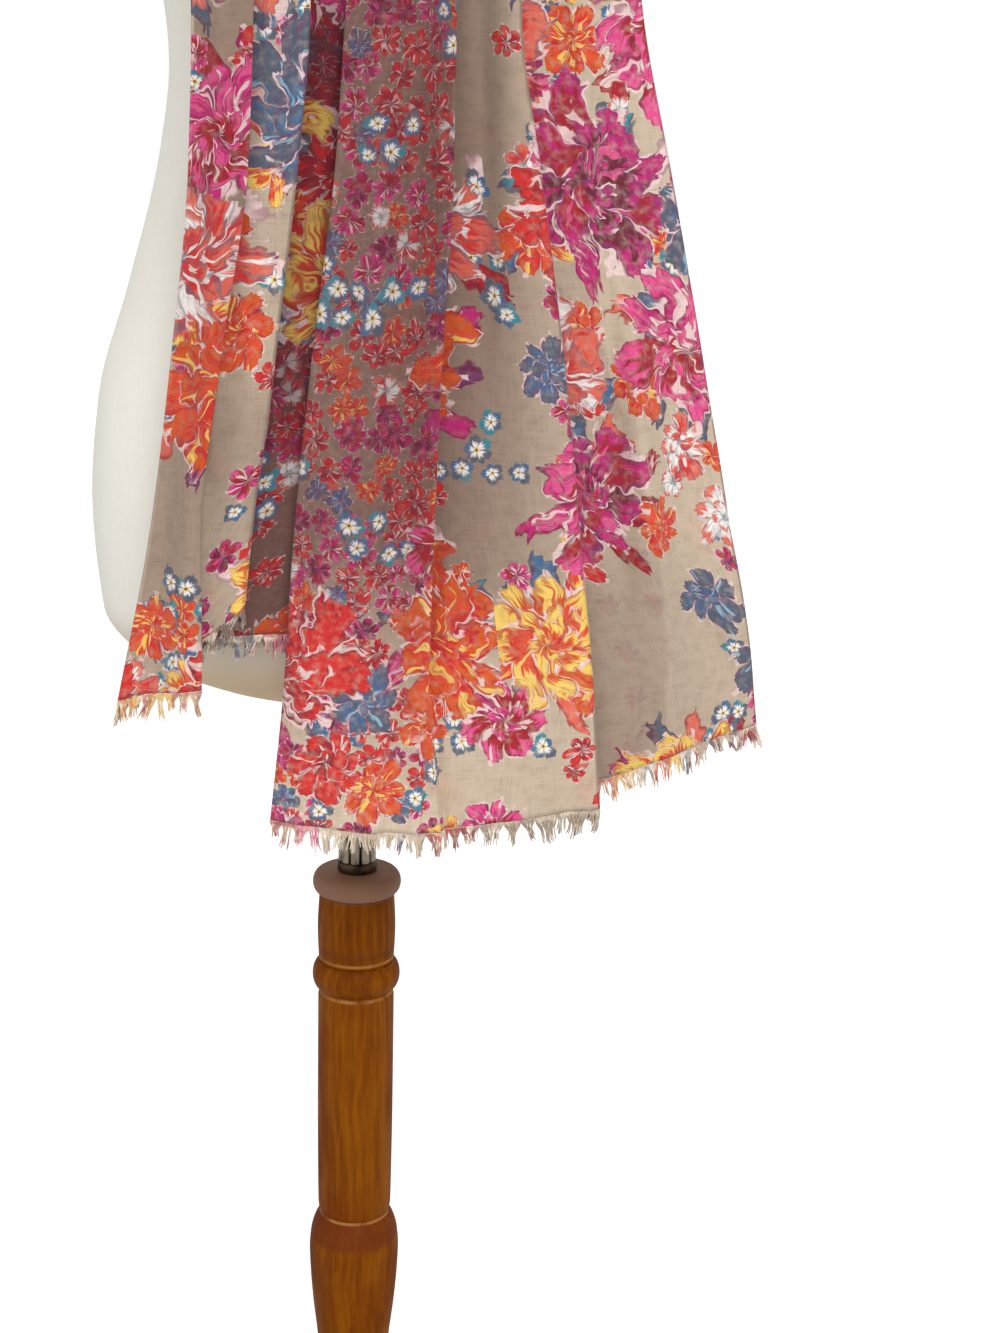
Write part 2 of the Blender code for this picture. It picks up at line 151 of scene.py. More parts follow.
# The ferrule, from its top down: shares of its height, and how far in from its side it is.
FERRULE = ((1.00, 0.0012), (0.94, 0.0004), (0.84, 0.0), (0.10, 0.0), (0.00, 0.0004))

# One flute of the rod: points round it, where its groove and the crest of the land beside
# it lie, as shares of the flute, and how wide and deep the groove and how high the land is.
FLUTE_STEPS = 16
GROOVE_PLACE = 0.81
GROOVE_WIDTH = 0.085
GROOVE_DEPTH = 0.0036
LAND_PLACE = 0.31
LAND_RISE = 0.00015
ROD_INSET = 0.0002          # the rod lies this far inside its plain solid

# ---------------------------------------------------------------- the scarf

LAYERS = 6
CLOTH = 0.0006              # the thin shell's wall
NECK_STACK = 0.0175         # the stack of layers, innermost to outermost
SEAT = 0.0009               # innermost layer's middle to the line it lies along
BEND_POINTS = 6             # points round each fold
KEY_MARGIN = 0.02           # how far a layer's flat part stays from its fold keys, in keys
COLLAR_CROWN = 0.045
FRONT_FOLD = 3              # the key of the fold that the free flap starts from
FLAP = 4                    # the layer that hangs free, single beyond the inner selvage
SECTION_STEP = 0.002        # how far before and after a section its direction is read
KEY_COLUMN = 9              # where the keys start in a row of the path

Collar = namedtuple("Collar", "place inner outer k0 k1 k2 k3 k4 k5 k6")
Tail = namedtuple("Tail", "height depth bow crown stack k0 k1 k2 k3 k4 k5 k6")

# Round the neck, for the wearer's left, and mirrored for the right: the inner and outer
# edge of the innermost layer, and the keys outward from the inner edge.
COLLAR = (
    Collar("nape", (0.000, 0.0690, 1.493), (0.000, 0.1000, 1.415),
           0.000, 0.070, 0.005, 0.077, 0.011, 0.084, 0.015),
    Collar("yoke", (0.0480, 0.0520, 1.475), (0.103, 0.0840, 1.413),
           0.000, 0.075, 0.007, 0.082, 0.012, 0.093, 0.019),
    Collar("shoulder", (0.0640, 0.0060, 1.460), (0.139, 0.0110, 1.415),
           0.000, 0.073, 0.006, 0.085, 0.016, 0.094, 0.021),
    Collar("collarbone", (0.0480, -0.0550, 1.426), (0.129, -0.0400, 1.394),
           0.000, 0.066, 0.005, 0.079, 0.014, 0.092, 0.019),
)

# Down the front: the innermost layer's place forward of the axis, how fast the section
# curls back on each side of its crown, the depth of the stack, and the keys' distances
# from the middle of the form.
TAIL_LEFT = (
    Tail(1.335, -0.1060, 1.8, 0.045, 0.0175, 0.038, 0.106, 0.032, 0.104, 0.028, 0.112, 0.034),
    Tail(1.230, -0.1350, 1.4, 0.045, 0.0175, 0.054, 0.096, 0.030, 0.092, 0.004, 0.094, 0.006),
    Tail(1.090, -0.1290, 1.2, 0.040, 0.0175, 0.057, 0.090, 0.028, 0.084, -0.014, 0.082, -0.020),
    Tail(1.000, -0.1240, 1.2, 0.040, 0.0175, 0.061, 0.093, 0.035, 0.088, -0.008, 0.084, -0.014),
    Tail(0.900, -0.1220, 1.2, 0.040, 0.0180, 0.076, 0.104, 0.047, 0.098, 0.004, 0.094, -0.004),
    Tail(0.800, -0.1200, 1.2, 0.040, 0.0190, 0.088, 0.118, 0.058, 0.110, 0.018, 0.106, 0.008),
    Tail(0.700, -0.1180, 1.2, 0.040, 0.0200, 0.089, 0.138, 0.065, 0.122, 0.030, 0.114, 0.022),
)
TAIL_RIGHT = (
    Tail(1.335, -0.1060, 1.8, 0.045, 0.0175, 0.030, 0.086, 0.034, 0.100, 0.044, 0.120, 0.050),
    Tail(1.230, -0.1350, 1.6, 0.050, 0.0175, 0.006, 0.060, 0.014, 0.086, 0.034, 0.132, 0.048),
    Tail(1.090, -0.1330, 1.8, 0.050, 0.0175, -0.009, 0.048, 0.006, 0.082, 0.030, 0.150, 0.066),
    Tail(1.000, -0.1320, 1.8, 0.050, 0.0175, -0.015, 0.048, 0.012, 0.096, 0.046, 0.172, 0.100),
    Tail(0.900, -0.1310, 1.8, 0.050, 0.0180, -0.027, 0.044, 0.020, 0.112, 0.064, 0.197, 0.137),
    Tail(0.800, -0.1300, 1.8, 0.050, 0.0190, -0.037, 0.041, 0.028, 0.125, 0.080, 0.220, 0.168),
    Tail(0.710, -0.1290, 1.8, 0.050, 0.0200, -0.043, 0.039, 0.040, 0.136, 0.098, 0.237, 0.181),
    Tail(0.630, -0.1280, 1.8, 0.050, 0.0200, -0.051, 0.036, 0.050, 0.143, 0.106, 0.247, 0.183),
)

Hem = namedtuple("Hem", "starts k0 k1 k2 k3 k4 k5 k6")
HEM_LEFT = Hem(0.860, 0.712, 0.702, 0.758, 0.738, 0.742, 0.746, 0.750)
HEM_RIGHT = Hem(0.800, 0.630, 0.628, 0.629, 0.638, 0.643, 0.672, 0.705)

# Long soft ripples through all the layers of a tail, and where they run out.
Ripple = namedtuple("Ripple", "height spacing shift starts")
RIPPLE_LEFT = Ripple(0.0018, 0.070, 0.4, 1.05)
RIPPLE_RIGHT = Ripple(0.0026, 0.084, 1.9, 1.05)

# Creases, listed one by one.  Each runs from one point to the other, across and height, stands out
# by rise (or lies in, below 0) and is that wide.  They are deepest in the outer layers.
Crease = namedtuple("Crease", "across_top top across_low low width rise")
CREASES_LEFT = (
    Crease(0.066, 1.160, 0.104, 0.700, 0.009, 0.0064),
    Crease(0.080, 1.240, 0.090, 0.860, 0.007, -0.0046),
    Crease(0.048, 1.120, 0.070, 0.770, 0.010, 0.0051),
    Crease(0.094, 0.930, 0.126, 0.690, 0.010, -0.0051),
    Crease(0.050, 1.330, 0.078, 1.080, 0.010, 0.0055),
    Crease(0.010, 1.180, 0.040, 0.760, 0.011, 0.0042),
    Crease(0.088, 1.030, 0.068, 0.930, 0.005, 0.0028),
    Crease(0.098, 0.900, 0.086, 0.820, 0.006, -0.0026),
)
CREASES_RIGHT = (
    Crease(0.018, 1.300, 0.000, 0.760, 0.010, 0.0068),
    Crease(0.036, 1.200, 0.018, 0.640, 0.009, -0.0051),
    Crease(0.056, 1.240, 0.072, 0.860, 0.008, -0.0064),
    Crease(0.072, 1.160, 0.108, 0.640, 0.022, 0.0095),
    Crease(-0.010, 0.900, -0.034, 0.630, 0.010, 0.0060),
    Crease(0.082, 0.900, 0.080, 0.630, 0.009, -0.0055),
    Crease(0.010, 0.740, 0.010, 0.620, 0.009, 0.0046),
    Crease(0.066, 1.160, 0.060, 0.660, 0.010, -0.0050),
    Crease(0.050, 0.800, 0.054, 0.620, 0.010, 0.0055),
)

# Creases of the wide flap that hangs free beside the form.
CREASES_FLAP = (
    Crease(0.112, 1.160, 0.186, 0.650, 0.014, 0.0073),
    Crease(0.128, 1.060, 0.160, 0.700, 0.011, -0.0061),
    Crease(0.146, 1.000, 0.214, 0.700, 0.013, -0.0061),
    Crease(0.160, 0.900, 0.232, 0.690, 0.011, 0.0061),
    Crease(0.170, 0.760, 0.176, 0.640, 0.011, -0.0056),
    Crease(0.104, 1.150, 0.132, 0.930, 0.005, 0.0032),
    Crease(0.150, 0.920, 0.176, 0.770, 0.006, 0.0034),
    Crease(0.190, 0.980, 0.208, 0.860, 0.006, -0.0028),
)
FLAP_EASE = 0.020           # how gently the flap's creases set in beside the front fold

# Round the neck a crease runs along the strip: its distance from the inner edge at each
# end, and where it starts and stops, as shares of the collar's length.
CREASES_COLLAR = (
    Crease(0.020, 0.02, 0.034, 0.52, 0.006, 0.0034),
    Crease(0.046, 0.10, 0.040, 0.70, 0.006, -0.0029),
    Crease(0.056, 0.00, 0.062, 0.36, 0.006, 0.0031),
    Crease(0.030, 0.48, 0.022, 0.98, 0.006, 0.0031),
    Crease(0.060, 0.55, 0.050, 1.00, 0.007, -0.0029),
    Crease(0.012, 0.30, 0.010, 0.80, 0.005, 0.0023),
)

# Where a fold or selvage stands away from the layer under it: its key, how far, and how
# wide a band of cloth rises with it.
Lift = namedtuple("Lift", "key rise width")
LIFTS_LEFT = (Lift(0, 0.0060, 0.014), Lift(1, 0.0030, 0.014), Lift(2, 0.0070, 0.015))
LIFTS_RIGHT = (
    Lift(0, 0.0040, 0.014), Lift(1, 0.0090, 0.017), Lift(3, 0.0085, 0.020), Lift(5, 0.0040, 0.020),
)
LIFT_WAVES = 9.0            # how often, to a metre, a lifted edge rises and falls
LIFT_MEAN = 0.75            # a lifted edge's usual share of its rise, and how far it strays
LIFT_SWING = 0.9
LIFT_APART = 7.3            # keeps the waves of one lifted edge unlike the next one's
CREASE_FADE = 0.25          # how far on each side of its ends a crease fades, as a share of it
CRUMPLE = 0.0011            # small unevenness of worn cloth
CRUMPLE_ACROSS = 60.0
CRUMPLE_DOWN = 14.0
CRUMPLE_INNER = 0.25        # how much of it the innermost layer has
SEAM_SHARE = 0.12           # creases die out at a shoulder seam, over this share of the collar
SEAM_DROP = 0.06            # and over this height down the front

FRINGE_SEED = 7
FRINGE_CLUMP = 0.0072       # the usual width of a clump of loose threads
FRINGE_NARROWEST = 0.6      # the narrowest and widest clumps, as shares of the usual one
FRINGE_WIDEST = 2.1
FRINGE_THREADS = 10         # threads in a usual clump
FRINGE_FEWEST = 4
FRINGE_GATHER = (0.16, 0.60)    # how narrow a clump is at its tip, as a share of its root
FRINGE_SHORTEST = 0.0100
FRINGE_LONGEST = 0.0185
FRINGE_SHORTER = 0.70       # the shortest thread of a clump, as a share of the longest
FRINGE_LEAN = (0.20, 0.10)  # how far clumps lean, sideways and forward
FRINGE_STRAY = 0.0006       # how far single threads stray
FRINGE_FLARE = 1.8          # by how much they stray more at their tips
GATHER_PACE = 1.6           # how soon along it a thread has drawn in to its clump
THREAD_RADIUS = 0.00058
THREAD_TAPER = 0.45
THREAD_POINTS = (0.0, 0.25, 0.5, 0.75, 1.0)
HEM_PARTS = (24,) * LAYERS  # points along each layer of a hem
HEM_STEP = 0.004            # how far above a hem the cloth's fall is read
HEM_GAP = 0.0004


# ---------------------------------------------------------------- shared tools

def follow(at, knots, values):
    """Values at "at", on smooth curves through the knots that never overshoot."""
    at = np.atleast_1d(np.asarray(at, float))
    knots = np.asarray(knots, float)
    values = np.asarray(values, float).reshape(len(knots), -1)
    spans = np.diff(knots)[:, None]
    rises = np.diff(values, axis=0) / spans
    slopes = np.zeros_like(values)
    slopes[0], slopes[-1] = rises[0], rises[-1]
    same_way = rises[:-1] * rises[1:] > 0
    total = np.where(same_way, rises[:-1] + rises[1:], 1.0)
    slopes[1:-1] = np.where(same_way, 2 * rises[:-1] * rises[1:] / total, 0.0)
    i = np.clip(np.searchsorted(knots, at, side="right") - 1, 0, len(knots) - 2)
    span = spans[i]
    t = (at - knots[i])[:, None] / span
    return (
        values[i] * (1 + 2 * t) * (1 - t) ** 2
        + slopes[i] * span * t * (1 - t) ** 2
        + values[i + 1] * t * t * (3 - 2 * t)
        + slopes[i + 1] * span * t * t * (t - 1)
    )


def ease(value):
    """0 below 0, 1 above 1, and smooth between them."""
    value = min(1.0, max(0.0, value))
    return value * value * (3 - 2 * value)


def place(bm, name, finish, slot_name, *nodes, smooth_below=45):
    """Turns a finished bmesh into a piece that stands for CAD nodes."""
    mesh = bpy.data.meshes.new(name)
    bm.to_mesh(mesh)
    bm.free()
    mesh.shade_smooth()
    mesh.set_sharp_from_angle(angle=math.radians(smooth_below))
    mesh.materials.append(finish)
    piece = bpy.data.objects.new(name, mesh)
    bpy.context.scene.collection.objects.link(piece)
    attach(piece, "root")
    if nodes:
        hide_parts(*nodes)
    return piece


def grid(rows):
    """A bmesh grid laid through rows of points."""
    bm = bmesh.new()
    bmesh.ops.create_grid(bm, x_segments=len(rows[0]) - 1, y_segments=len(rows) - 1, size=1.0)
    bm.verts.ensure_lookup_table()
    for vert, point in zip(bm.verts, [point for row in rows for point in row]):
        vert.co = point
    return bm


def skin(rings):
    """A closed bmesh through level rings of points, with a pole in the middle of each end."""
    first, last = ([Vector((0.0, 0.0, ring[0].z))] * len(ring) for ring in (rings[0], rings[-1]))
    bm = grid([[*ring, ring[0]] for ring in (first, *rings, last)])
    bmesh.ops.remove_doubles(bm, verts=bm.verts, dist=1e-6)
    bmesh.ops.recalc_face_normals(bm, faces=bm.faces)
    return bm


def round_ring(height, side, front, back, square, sides):
    """One level ring, round or squarer, counted from +X towards +Y."""
    points = []
    for n in range(sides):
        turn = 2 * math.pi * n / sides
        across, along = math.cos(turn), math.sin(turn)
        x = side * math.copysign(abs(across) ** (2 / square), across)
        y = (back if along > 0 else front) * math.copysign(abs(along) ** (2 / square), along)
        points.append(Vector((x, y, height)))
    return points


def revolve(profile):
    """A closed solid of revolution about the post's axis, made with a full spin."""
    bm = bmesh.new()
    top, low = profile[0], profile[-1]
    line = [Turn(top.height, 0.0), *profile, Turn(low.height, 0.0)]
    verts = [bm.verts.new((turn.radius, 0.0, turn.height)) for turn in line]
    edges = [bm.edges.new(pair) for pair in zip(verts, verts[1:])]
    bmesh.ops.spin(bm, geom=verts + edges, cent=(0, 0, 0), axis=(0, 0, 1), angle=2 * math.pi,
                   steps=TURNED_SIDES, use_merge=True)
    bmesh.ops.remove_doubles(bm, verts=bm.verts, dist=1e-6)
    bmesh.ops.recalc_face_normals(bm, faces=bm.faces)
    return bm


# ---------------------------------------------------------------- painting with nodes

# The print's beds of flowers, each with a UV map of its own: how far apart the flowers
# stand, how far they reach and stray, whether they are open flowers or posies, and
# whether they come in groups only.  Kinds holds a letter for each kind sown, and a kind
# that is named twice comes twice as often.
Bed = namedtuple("Bed", "name spacing reach stray open_flowers grouped kinds seed")
BEDS = (
    Bed("large flowers", 0.094, 0.054, 0.20, True, False, "cswwmodb", 31),
    Bed("middling flowers", 0.050, 0.025, 0.26, True, False, "cssmowdb", 6),
    Bed("posies", 0.0168, 0.0108, 0.26, False, False, "cccccsmmddbw", 3),
    Bed("clusters", 0.0160, 0.0088, 0.18, False, True, "b", 9),
)
TILE = 10.0                 # a flower's tile in a bed's UV map, in the flower's own reach


def paint(red, green, blue):
    """A colour as a paint chart gives it, 0 to 255, as a shader takes it."""
    made = []
    for value in (red, green, blue):
        share = value / 255
        made.append(share / 12.92 if share <= 0.04045 else ((share + 0.055) / 1.055) ** 2.4)
    return (*made, 1.0)


def add(tree, kind, inputs=None, **settings):
    """Adds a node, with its settings, and with values or links for its inputs."""
    made = tree.nodes.new(kind)
    for name, value in settings.items():
        setattr(made, name, value)
    for key, value in (inputs or {}).items():
        if isinstance(value, bpy.types.NodeSocket):
            tree.links.new(value, made.inputs[key])
        else:
            made.inputs[key].default_value = value
    return made


def calc(tree, operation, first, second=0.0, third=0.0):
    """The result of one Math node."""
    made = add(tree, "ShaderNodeMath", {0: first, 1: second, 2: third}, operation=operation)
    return made.outputs[0]


def vector_calc(tree, operation, first, second=(0.0, 0.0, 0.0)):
    """The result of one Vector Math node."""
    made = add(tree, "ShaderNodeVectorMath", {0: first, 1: second}, operation=operation)
    return made.outputs["Value" if operation == "LENGTH" else "Vector"]


def blend(tree, share, under, over, mode="MIX"):
    """One colour over another."""
    made = add(tree, "ShaderNodeMix", {0: share, 6: under, 7: over},
               data_type="RGBA", blend_type=mode)
    return made.outputs[2]


def glaze(tree, mask, strength, under, over):
    """One colour over another where a mask is, at a share of its full strength."""
    return blend(tree, calc(tree, "MULTIPLY", mask, strength), under, over)


def spread(tree, value, low, high, to_low=0.0, to_high=1.0):
    """A value from one range smoothly onto another."""
    made = add(tree, "ShaderNodeMapRange",
               {0: value, 1: low, 2: high, 3: to_low, 4: to_high}, interpolation_type="SMOOTHSTEP")
    return made.outputs[0]


def cloudy(tree, point, scale, detail=2.0, stretch=None):
    """The value of a Noise node, at so many clouds to a metre."""
    if stretch:
        point = vector_calc(tree, "MULTIPLY", point, stretch)
    made = add(tree, "ShaderNodeTexNoise", {"Vector": point, "Scale": scale, "Detail": detail})
    return made.outputs[0]


def chart(tree, pick, colours):
    """Picks one of several flat colours by a value from 0 to 1."""
    ramp = add(tree, "ShaderNodeValToRGB", {0: pick})
    ramp.color_ramp.interpolation = "CONSTANT"
    stops = ramp.color_ramp.elements
    stops[0].position, stops[0].color = 0.0, colours[0]
    stops[1].position, stops[1].color = 1 / len(colours), colours[1]
    for n, colour in enumerate(colours[2:], 2):
        stops.new(n / len(colours)).color = colour
    return ramp.outputs[0]


def new_group(name, inputs, outputs):
    """An empty shader group with named sockets: its tree and its input and output nodes."""
    tree = bpy.data.node_groups.new(name, "ShaderNodeTree")
    for socket_name, kind, value in inputs:
        socket = tree.interface.new_socket(name=socket_name, in_out="INPUT", socket_type=kind)
        if value is not None:
            socket.default_value = value
    for socket_name, kind in outputs:
        tree.interface.new_socket(name=socket_name, in_out="OUTPUT", socket_type=kind)
    return tree, tree.nodes.new("NodeGroupInput"), tree.nodes.new("NodeGroupOutput")


def use(tree, group, inputs):
    """Places a shader group in a material."""
    return add(tree, "ShaderNodeGroup", inputs, node_tree=group)


FLOAT, VECTOR = "NodeSocketFloat", "NodeSocketVector"


def weave_group():
    """A slubbed plain weave: uneven threads both ways, as a height and as a tone."""
    tree, given, result = new_group(
        "slubbed weave",
        [("Point", VECTOR, None), ("Threads", FLOAT, 900.0), ("Slub", FLOAT, 0.5)],
        [("Height", FLOAT), ("Tone", FLOAT)],
    )
    point = vector_calc(tree, "SCALE", given.outputs["Point"])
    tree.links.new(given.outputs["Threads"], point.node.inputs["Scale"])
    across = cloudy(tree, point, 1.0, 1.0, (1.0, 0.045, 0.045))
    down = cloudy(tree, point, 1.0, 1.0, (0.045, 1.0, 1.0))
    broad = cloudy(tree, point, 0.12, 2.0)
    threads = calc(tree, "MAXIMUM", across, down)
    slubs = calc(tree, "ADD", threads, calc(tree, "MULTIPLY", broad, given.outputs["Slub"]))
    tree.links.new(threads, result.inputs["Height"])
    tree.links.new(spread(tree, slubs, 0.55, 1.05), result.inputs["Tone"])
    return tree


def bloom_group():
    """One ring of a painted flower's petals, on a tile of its own.

    A tile is TILE wide, with its flower in the middle and the flower's reach as the unit.
    Tiles stand in columns, one for each flower, and rows, one for each kind.  Petal is the
    petals' mask, Edge a rim round them and Line the dark line inside that rim.  Along runs
    from the middle to a petal's tip, Streak and Feather are brush marks along it, and Pick
    is a chance value of one petal.
    """
    tree, given, result = new_group(
        "painted bloom",
        [("Tile", VECTOR, None), ("Nudge", VECTOR, None), ("Zoom", FLOAT, 1.0), ("Petals", FLOAT, 6.0),
         ("Width", FLOAT, 0.56), ("Ragged", FLOAT, 0.2), ("Curl", FLOAT, 0.3)],
        [("Petal", FLOAT), ("Edge", FLOAT), ("Line", FLOAT), ("Along", FLOAT), ("Streak", FLOAT),
         ("Feather", FLOAT), ("Pick", FLOAT), ("Kind", FLOAT)],
    )
    count = given.outputs["Petals"]
    tile = given.outputs["Tile"]
    home = vector_calc(tree, "FLOOR", vector_calc(tree, "DIVIDE", tile, (TILE, TILE, 1.0)))
    local = vector_calc(tree, "SUBTRACT", tile, vector_calc(tree, "MULTIPLY", home, (TILE, TILE, 1.0)))
    local = vector_calc(tree, "SUBTRACT", local, (TILE / 2, TILE / 2, 0.0))
    local = vector_calc(tree, "ADD", local, given.outputs["Nudge"])
    local = vector_calc(tree, "SCALE", local)
    tree.links.new(given.outputs["Zoom"], local.node.inputs["Scale"])
    column = add(tree, "ShaderNodeSeparateXYZ", {0: home}).outputs
    parts = add(tree, "ShaderNodeSeparateXYZ", {0: local}).outputs
    distance = vector_calc(tree, "LENGTH", local)
    angle = calc(tree, "ARCTAN2", parts[1], parts[0])
    turn = calc(tree, "MULTIPLY", calc(tree, "ADD", column[0], given.outputs["Zoom"]), 0.37)
    sector = calc(tree, "MULTIPLY_ADD", angle, calc(tree, "DIVIDE", count, 2 * math.pi), turn)
    sector = calc(tree, "MULTIPLY_ADD", distance, given.outputs["Curl"], sector)
    number = calc(tree, "FLOORED_MODULO", calc(tree, "FLOOR", sector), count)
    beside = calc(tree, "ABSOLUTE", calc(tree, "SUBTRACT", calc(tree, "FRACT", sector), 0.5))

    seed = add(tree, "ShaderNodeCombineXYZ", {0: number, 1: column[0], 2: given.outputs["Zoom"]})
    pick = add(tree, "ShaderNodeTexWhiteNoise", {"Vector": seed.outputs[0]}).outputs["Value"]
    along = calc(tree, "DIVIDE", distance, calc(tree, "MULTIPLY_ADD", pick, 0.36, 0.66))

    streaks = []
    for crosswise, lengthwise in ((3.2, 1.3), (9.0, 0.8)):
        marks = add(tree, "ShaderNodeCombineXYZ", {
            0: calc(tree, "MULTIPLY", sector, crosswise),
            1: calc(tree, "MULTIPLY", along, lengthwise),
            2: column[0],
        })
        streaks.append(cloudy(tree, marks.outputs[0], 1.0, 1.0))
    streak, feather = streaks
    fray = calc(tree, "MULTIPLY", calc(tree, "SUBTRACT", feather, 0.5), given.outputs["Ragged"])
    tip = calc(tree, "MULTIPLY_ADD", fray, 1.6, along)
    room = calc(tree, "MAXIMUM", calc(tree, "SUBTRACT", 1.0, calc(tree, "POWER", tip, 4.0)), 0.0)
    width = calc(tree, "MULTIPLY", calc(tree, "SQRT", room), given.outputs["Width"])
    rough = calc(tree, "MULTIPLY", calc(tree, "SUBTRACT", streak, 0.5), given.outputs["Ragged"])
    inside = calc(tree, "ADD", calc(tree, "SUBTRACT", width, beside), rough)
    near = calc(tree, "LESS_THAN", along, 1.12)
    for name, value in (
        ("Petal", calc(tree, "MULTIPLY", spread(tree, inside, 0.02, 0.05), near)),
        ("Edge", calc(tree, "MULTIPLY", spread(tree, inside, -0.08, -0.04), near)),
        ("Line", spread(tree, inside, 0.15, 0.07)),
        ("Along", along), ("Streak", streak), ("Feather", feather), ("Pick", pick),
        ("Kind", calc(tree, "DIVIDE", calc(tree, "ADD", column[1], 0.5), len(KINDS))),
    ):
        tree.links.new(value, result.inputs[name])
    return tree


def grain_group():
    """Wood grain that runs up the piece: streaks, pores and blotches of stain."""
    tree, given, result = new_group(
        "turned wood grain",
        [("Point", VECTOR, None)],
        [("Streak", FLOAT), ("Pore", FLOAT), ("Blotch", FLOAT)],
    )
    point = given.outputs["Point"]
    bent = vector_calc(tree, "MULTIPLY_ADD", point, (1.0, 1.0, 1.0))
    drift = cloudy(tree, point, 9.0, 2.0)
    push = add(tree, "ShaderNodeCombineXYZ", {0: calc(tree, "MULTIPLY", drift, 0.03), 1: 0.0, 2: 0.0})
    tree.links.new(push.outputs[0], bent.node.inputs[2])
    streak = cloudy(tree, bent, 1.0, 3.0, (210.0, 210.0, 8.0))
    pore = cloudy(tree, point, 1.0, 1.0, (900.0, 900.0, 34.0))
    blotch = cloudy(tree, point, 1.0, 2.0, (38.0, 38.0, 22.0))
    tree.links.new(spread(tree, streak, 0.32, 0.68), result.inputs["Streak"])
    tree.links.new(spread(tree, pore, 0.56, 0.70), result.inputs["Pore"])
    tree.links.new(spread(tree, blotch, 0.35, 0.70), result.inputs["Blotch"])
    return tree


def new_finish(name, roughness, metallic=0.0, **settings):
    """A material with one Principled shader: its tree and the shader."""
    material = bpy.data.materials.new(name)
    material.use_nodes = True
    tree = material.node_tree
    shader = tree.nodes["Principled BSDF"]
    shader.inputs["Roughness"].default_value = roughness
    shader.inputs["Metallic"].default_value = metallic
    for socket, value in settings.items():
        shader.inputs[socket.replace("_", " ")].default_value = value
    return material, tree, shader


def bump(tree, shader, height, strength, distance):
    """Raises the surface's small relief."""
    made = add(tree, "ShaderNodeBump", {"Height": height, "Strength": strength, "Distance": distance})
    tree.links.new(made.outputs[0], shader.inputs["Normal"])


# Paints of the print.  The last two also paint shade into it: a brown and a plum for recesses and fold
# shadows.
CRIMSON = paint(168, 14, 38)
SCARLET = paint(214, 36, 36)
ORANGE_RED = paint(222, 70, 38)
ORANGE = paint(214, 84, 22)
CORAL = paint(226, 100, 82)
MAGENTA = paint(190, 24, 112)
PINK = paint(228, 72, 140)
MAROON = paint(104, 8, 42)
PURPLE = paint(112, 44, 100)
STEEL = paint(62, 104, 142)
SKY = paint(140, 186, 210)
SLATE = paint(78, 92, 112)
TEAL = paint(42, 132, 150)
WHITE = paint(244, 238, 234)
BLUSH = paint(238, 208, 206)
YELLOW = paint(246, 206, 100)
TAUPE = paint(140, 118, 104)
KHAKI = paint(210, 191, 167)
PAINTED_SHADE = paint(82, 48, 42)
PLUM_PRINT_AND_SHADE = paint(92, 16, 40)


# The kinds of flower in the print: the paint of most petals and of the others, of their
# tips, of the light brush marks along them and of the dark lines round them.
Kind = namedtuple("Kind", "letter most others tips marks lines")
KINDS = (
    Kind("c", CRIMSON, SCARLET, SCARLET, BLUSH, MAROON),
    Kind("s", SCARLET, ORANGE_RED, ORANGE, YELLOW, CRIMSON),
    Kind("m", MAGENTA, CRIMSON, PINK, BLUSH, MAROON),
    Kind("w", WHITE, SCARLET, CORAL, WHITE, SLATE),
    Kind("b", STEEL, SLATE, SLATE, SKY, PURPLE),
    Kind("d", MAROON, CRIMSON, MAGENTA, PINK, PURPLE),
    Kind("o", ORANGE, ORANGE_RED, YELLOW, YELLOW, CRIMSON),
)
LETTERS = "".join(kind.letter for kind in KINDS)

WEAVE = weave_group()
BLOOM = bloom_group()
GRAIN = grain_group()


# The rings of petals painted on each flower of a bed, outermost first: how much smaller
# than the first a ring is, its petals, how wide, ragged and curled they are, and how
# strong the pale rim round them is.
Petals = namedtuple("Petals", "zoom count width ragged curl rim", defaults=(0.0,))
POSY_RINGS = (Petals(1.0, 6.0, 0.56, 0.14, 0.3, 0.7),)
MIDDLING_RINGS = (Petals(1.0, 7.0, 0.56, 0.18, 0.4, 0.7), Petals(2.2, 5.0, 0.56, 0.16, 0.5, 0.7))
LARGE_RINGS = (
    Petals(1.0, 9.0, 0.56, 0.20, 0.3, 0.9),
    Petals(1.55, 7.0, 0.56, 0.20, 0.6, 0.9),
    Petals(3.0, 6.0, 0.56, 0.18, 0.9, 0.9),
)
LEAVES = Petals(0.80, 9.0, 0.38, 0.24, 0.5)
STARS = Petals(1.0, 5.0, 0.52, 0.14, 0.0, 0.8)
SEEN_THROUGH = Petals(0.30, 7.0, 0.50, 0.30, 1.0)


def petals_on(tree, tiles, nudge, row):
    """The painted bloom's outputs for one ring of petals on a bed's tiles."""
    return use(tree, BLOOM, {"Tile": tiles, "Nudge": nudge, "Zoom": row.zoom, "Petals": row.count,
                             "Width": row.width, "Ragged": row.ragged, "Curl": row.curl}).outputs


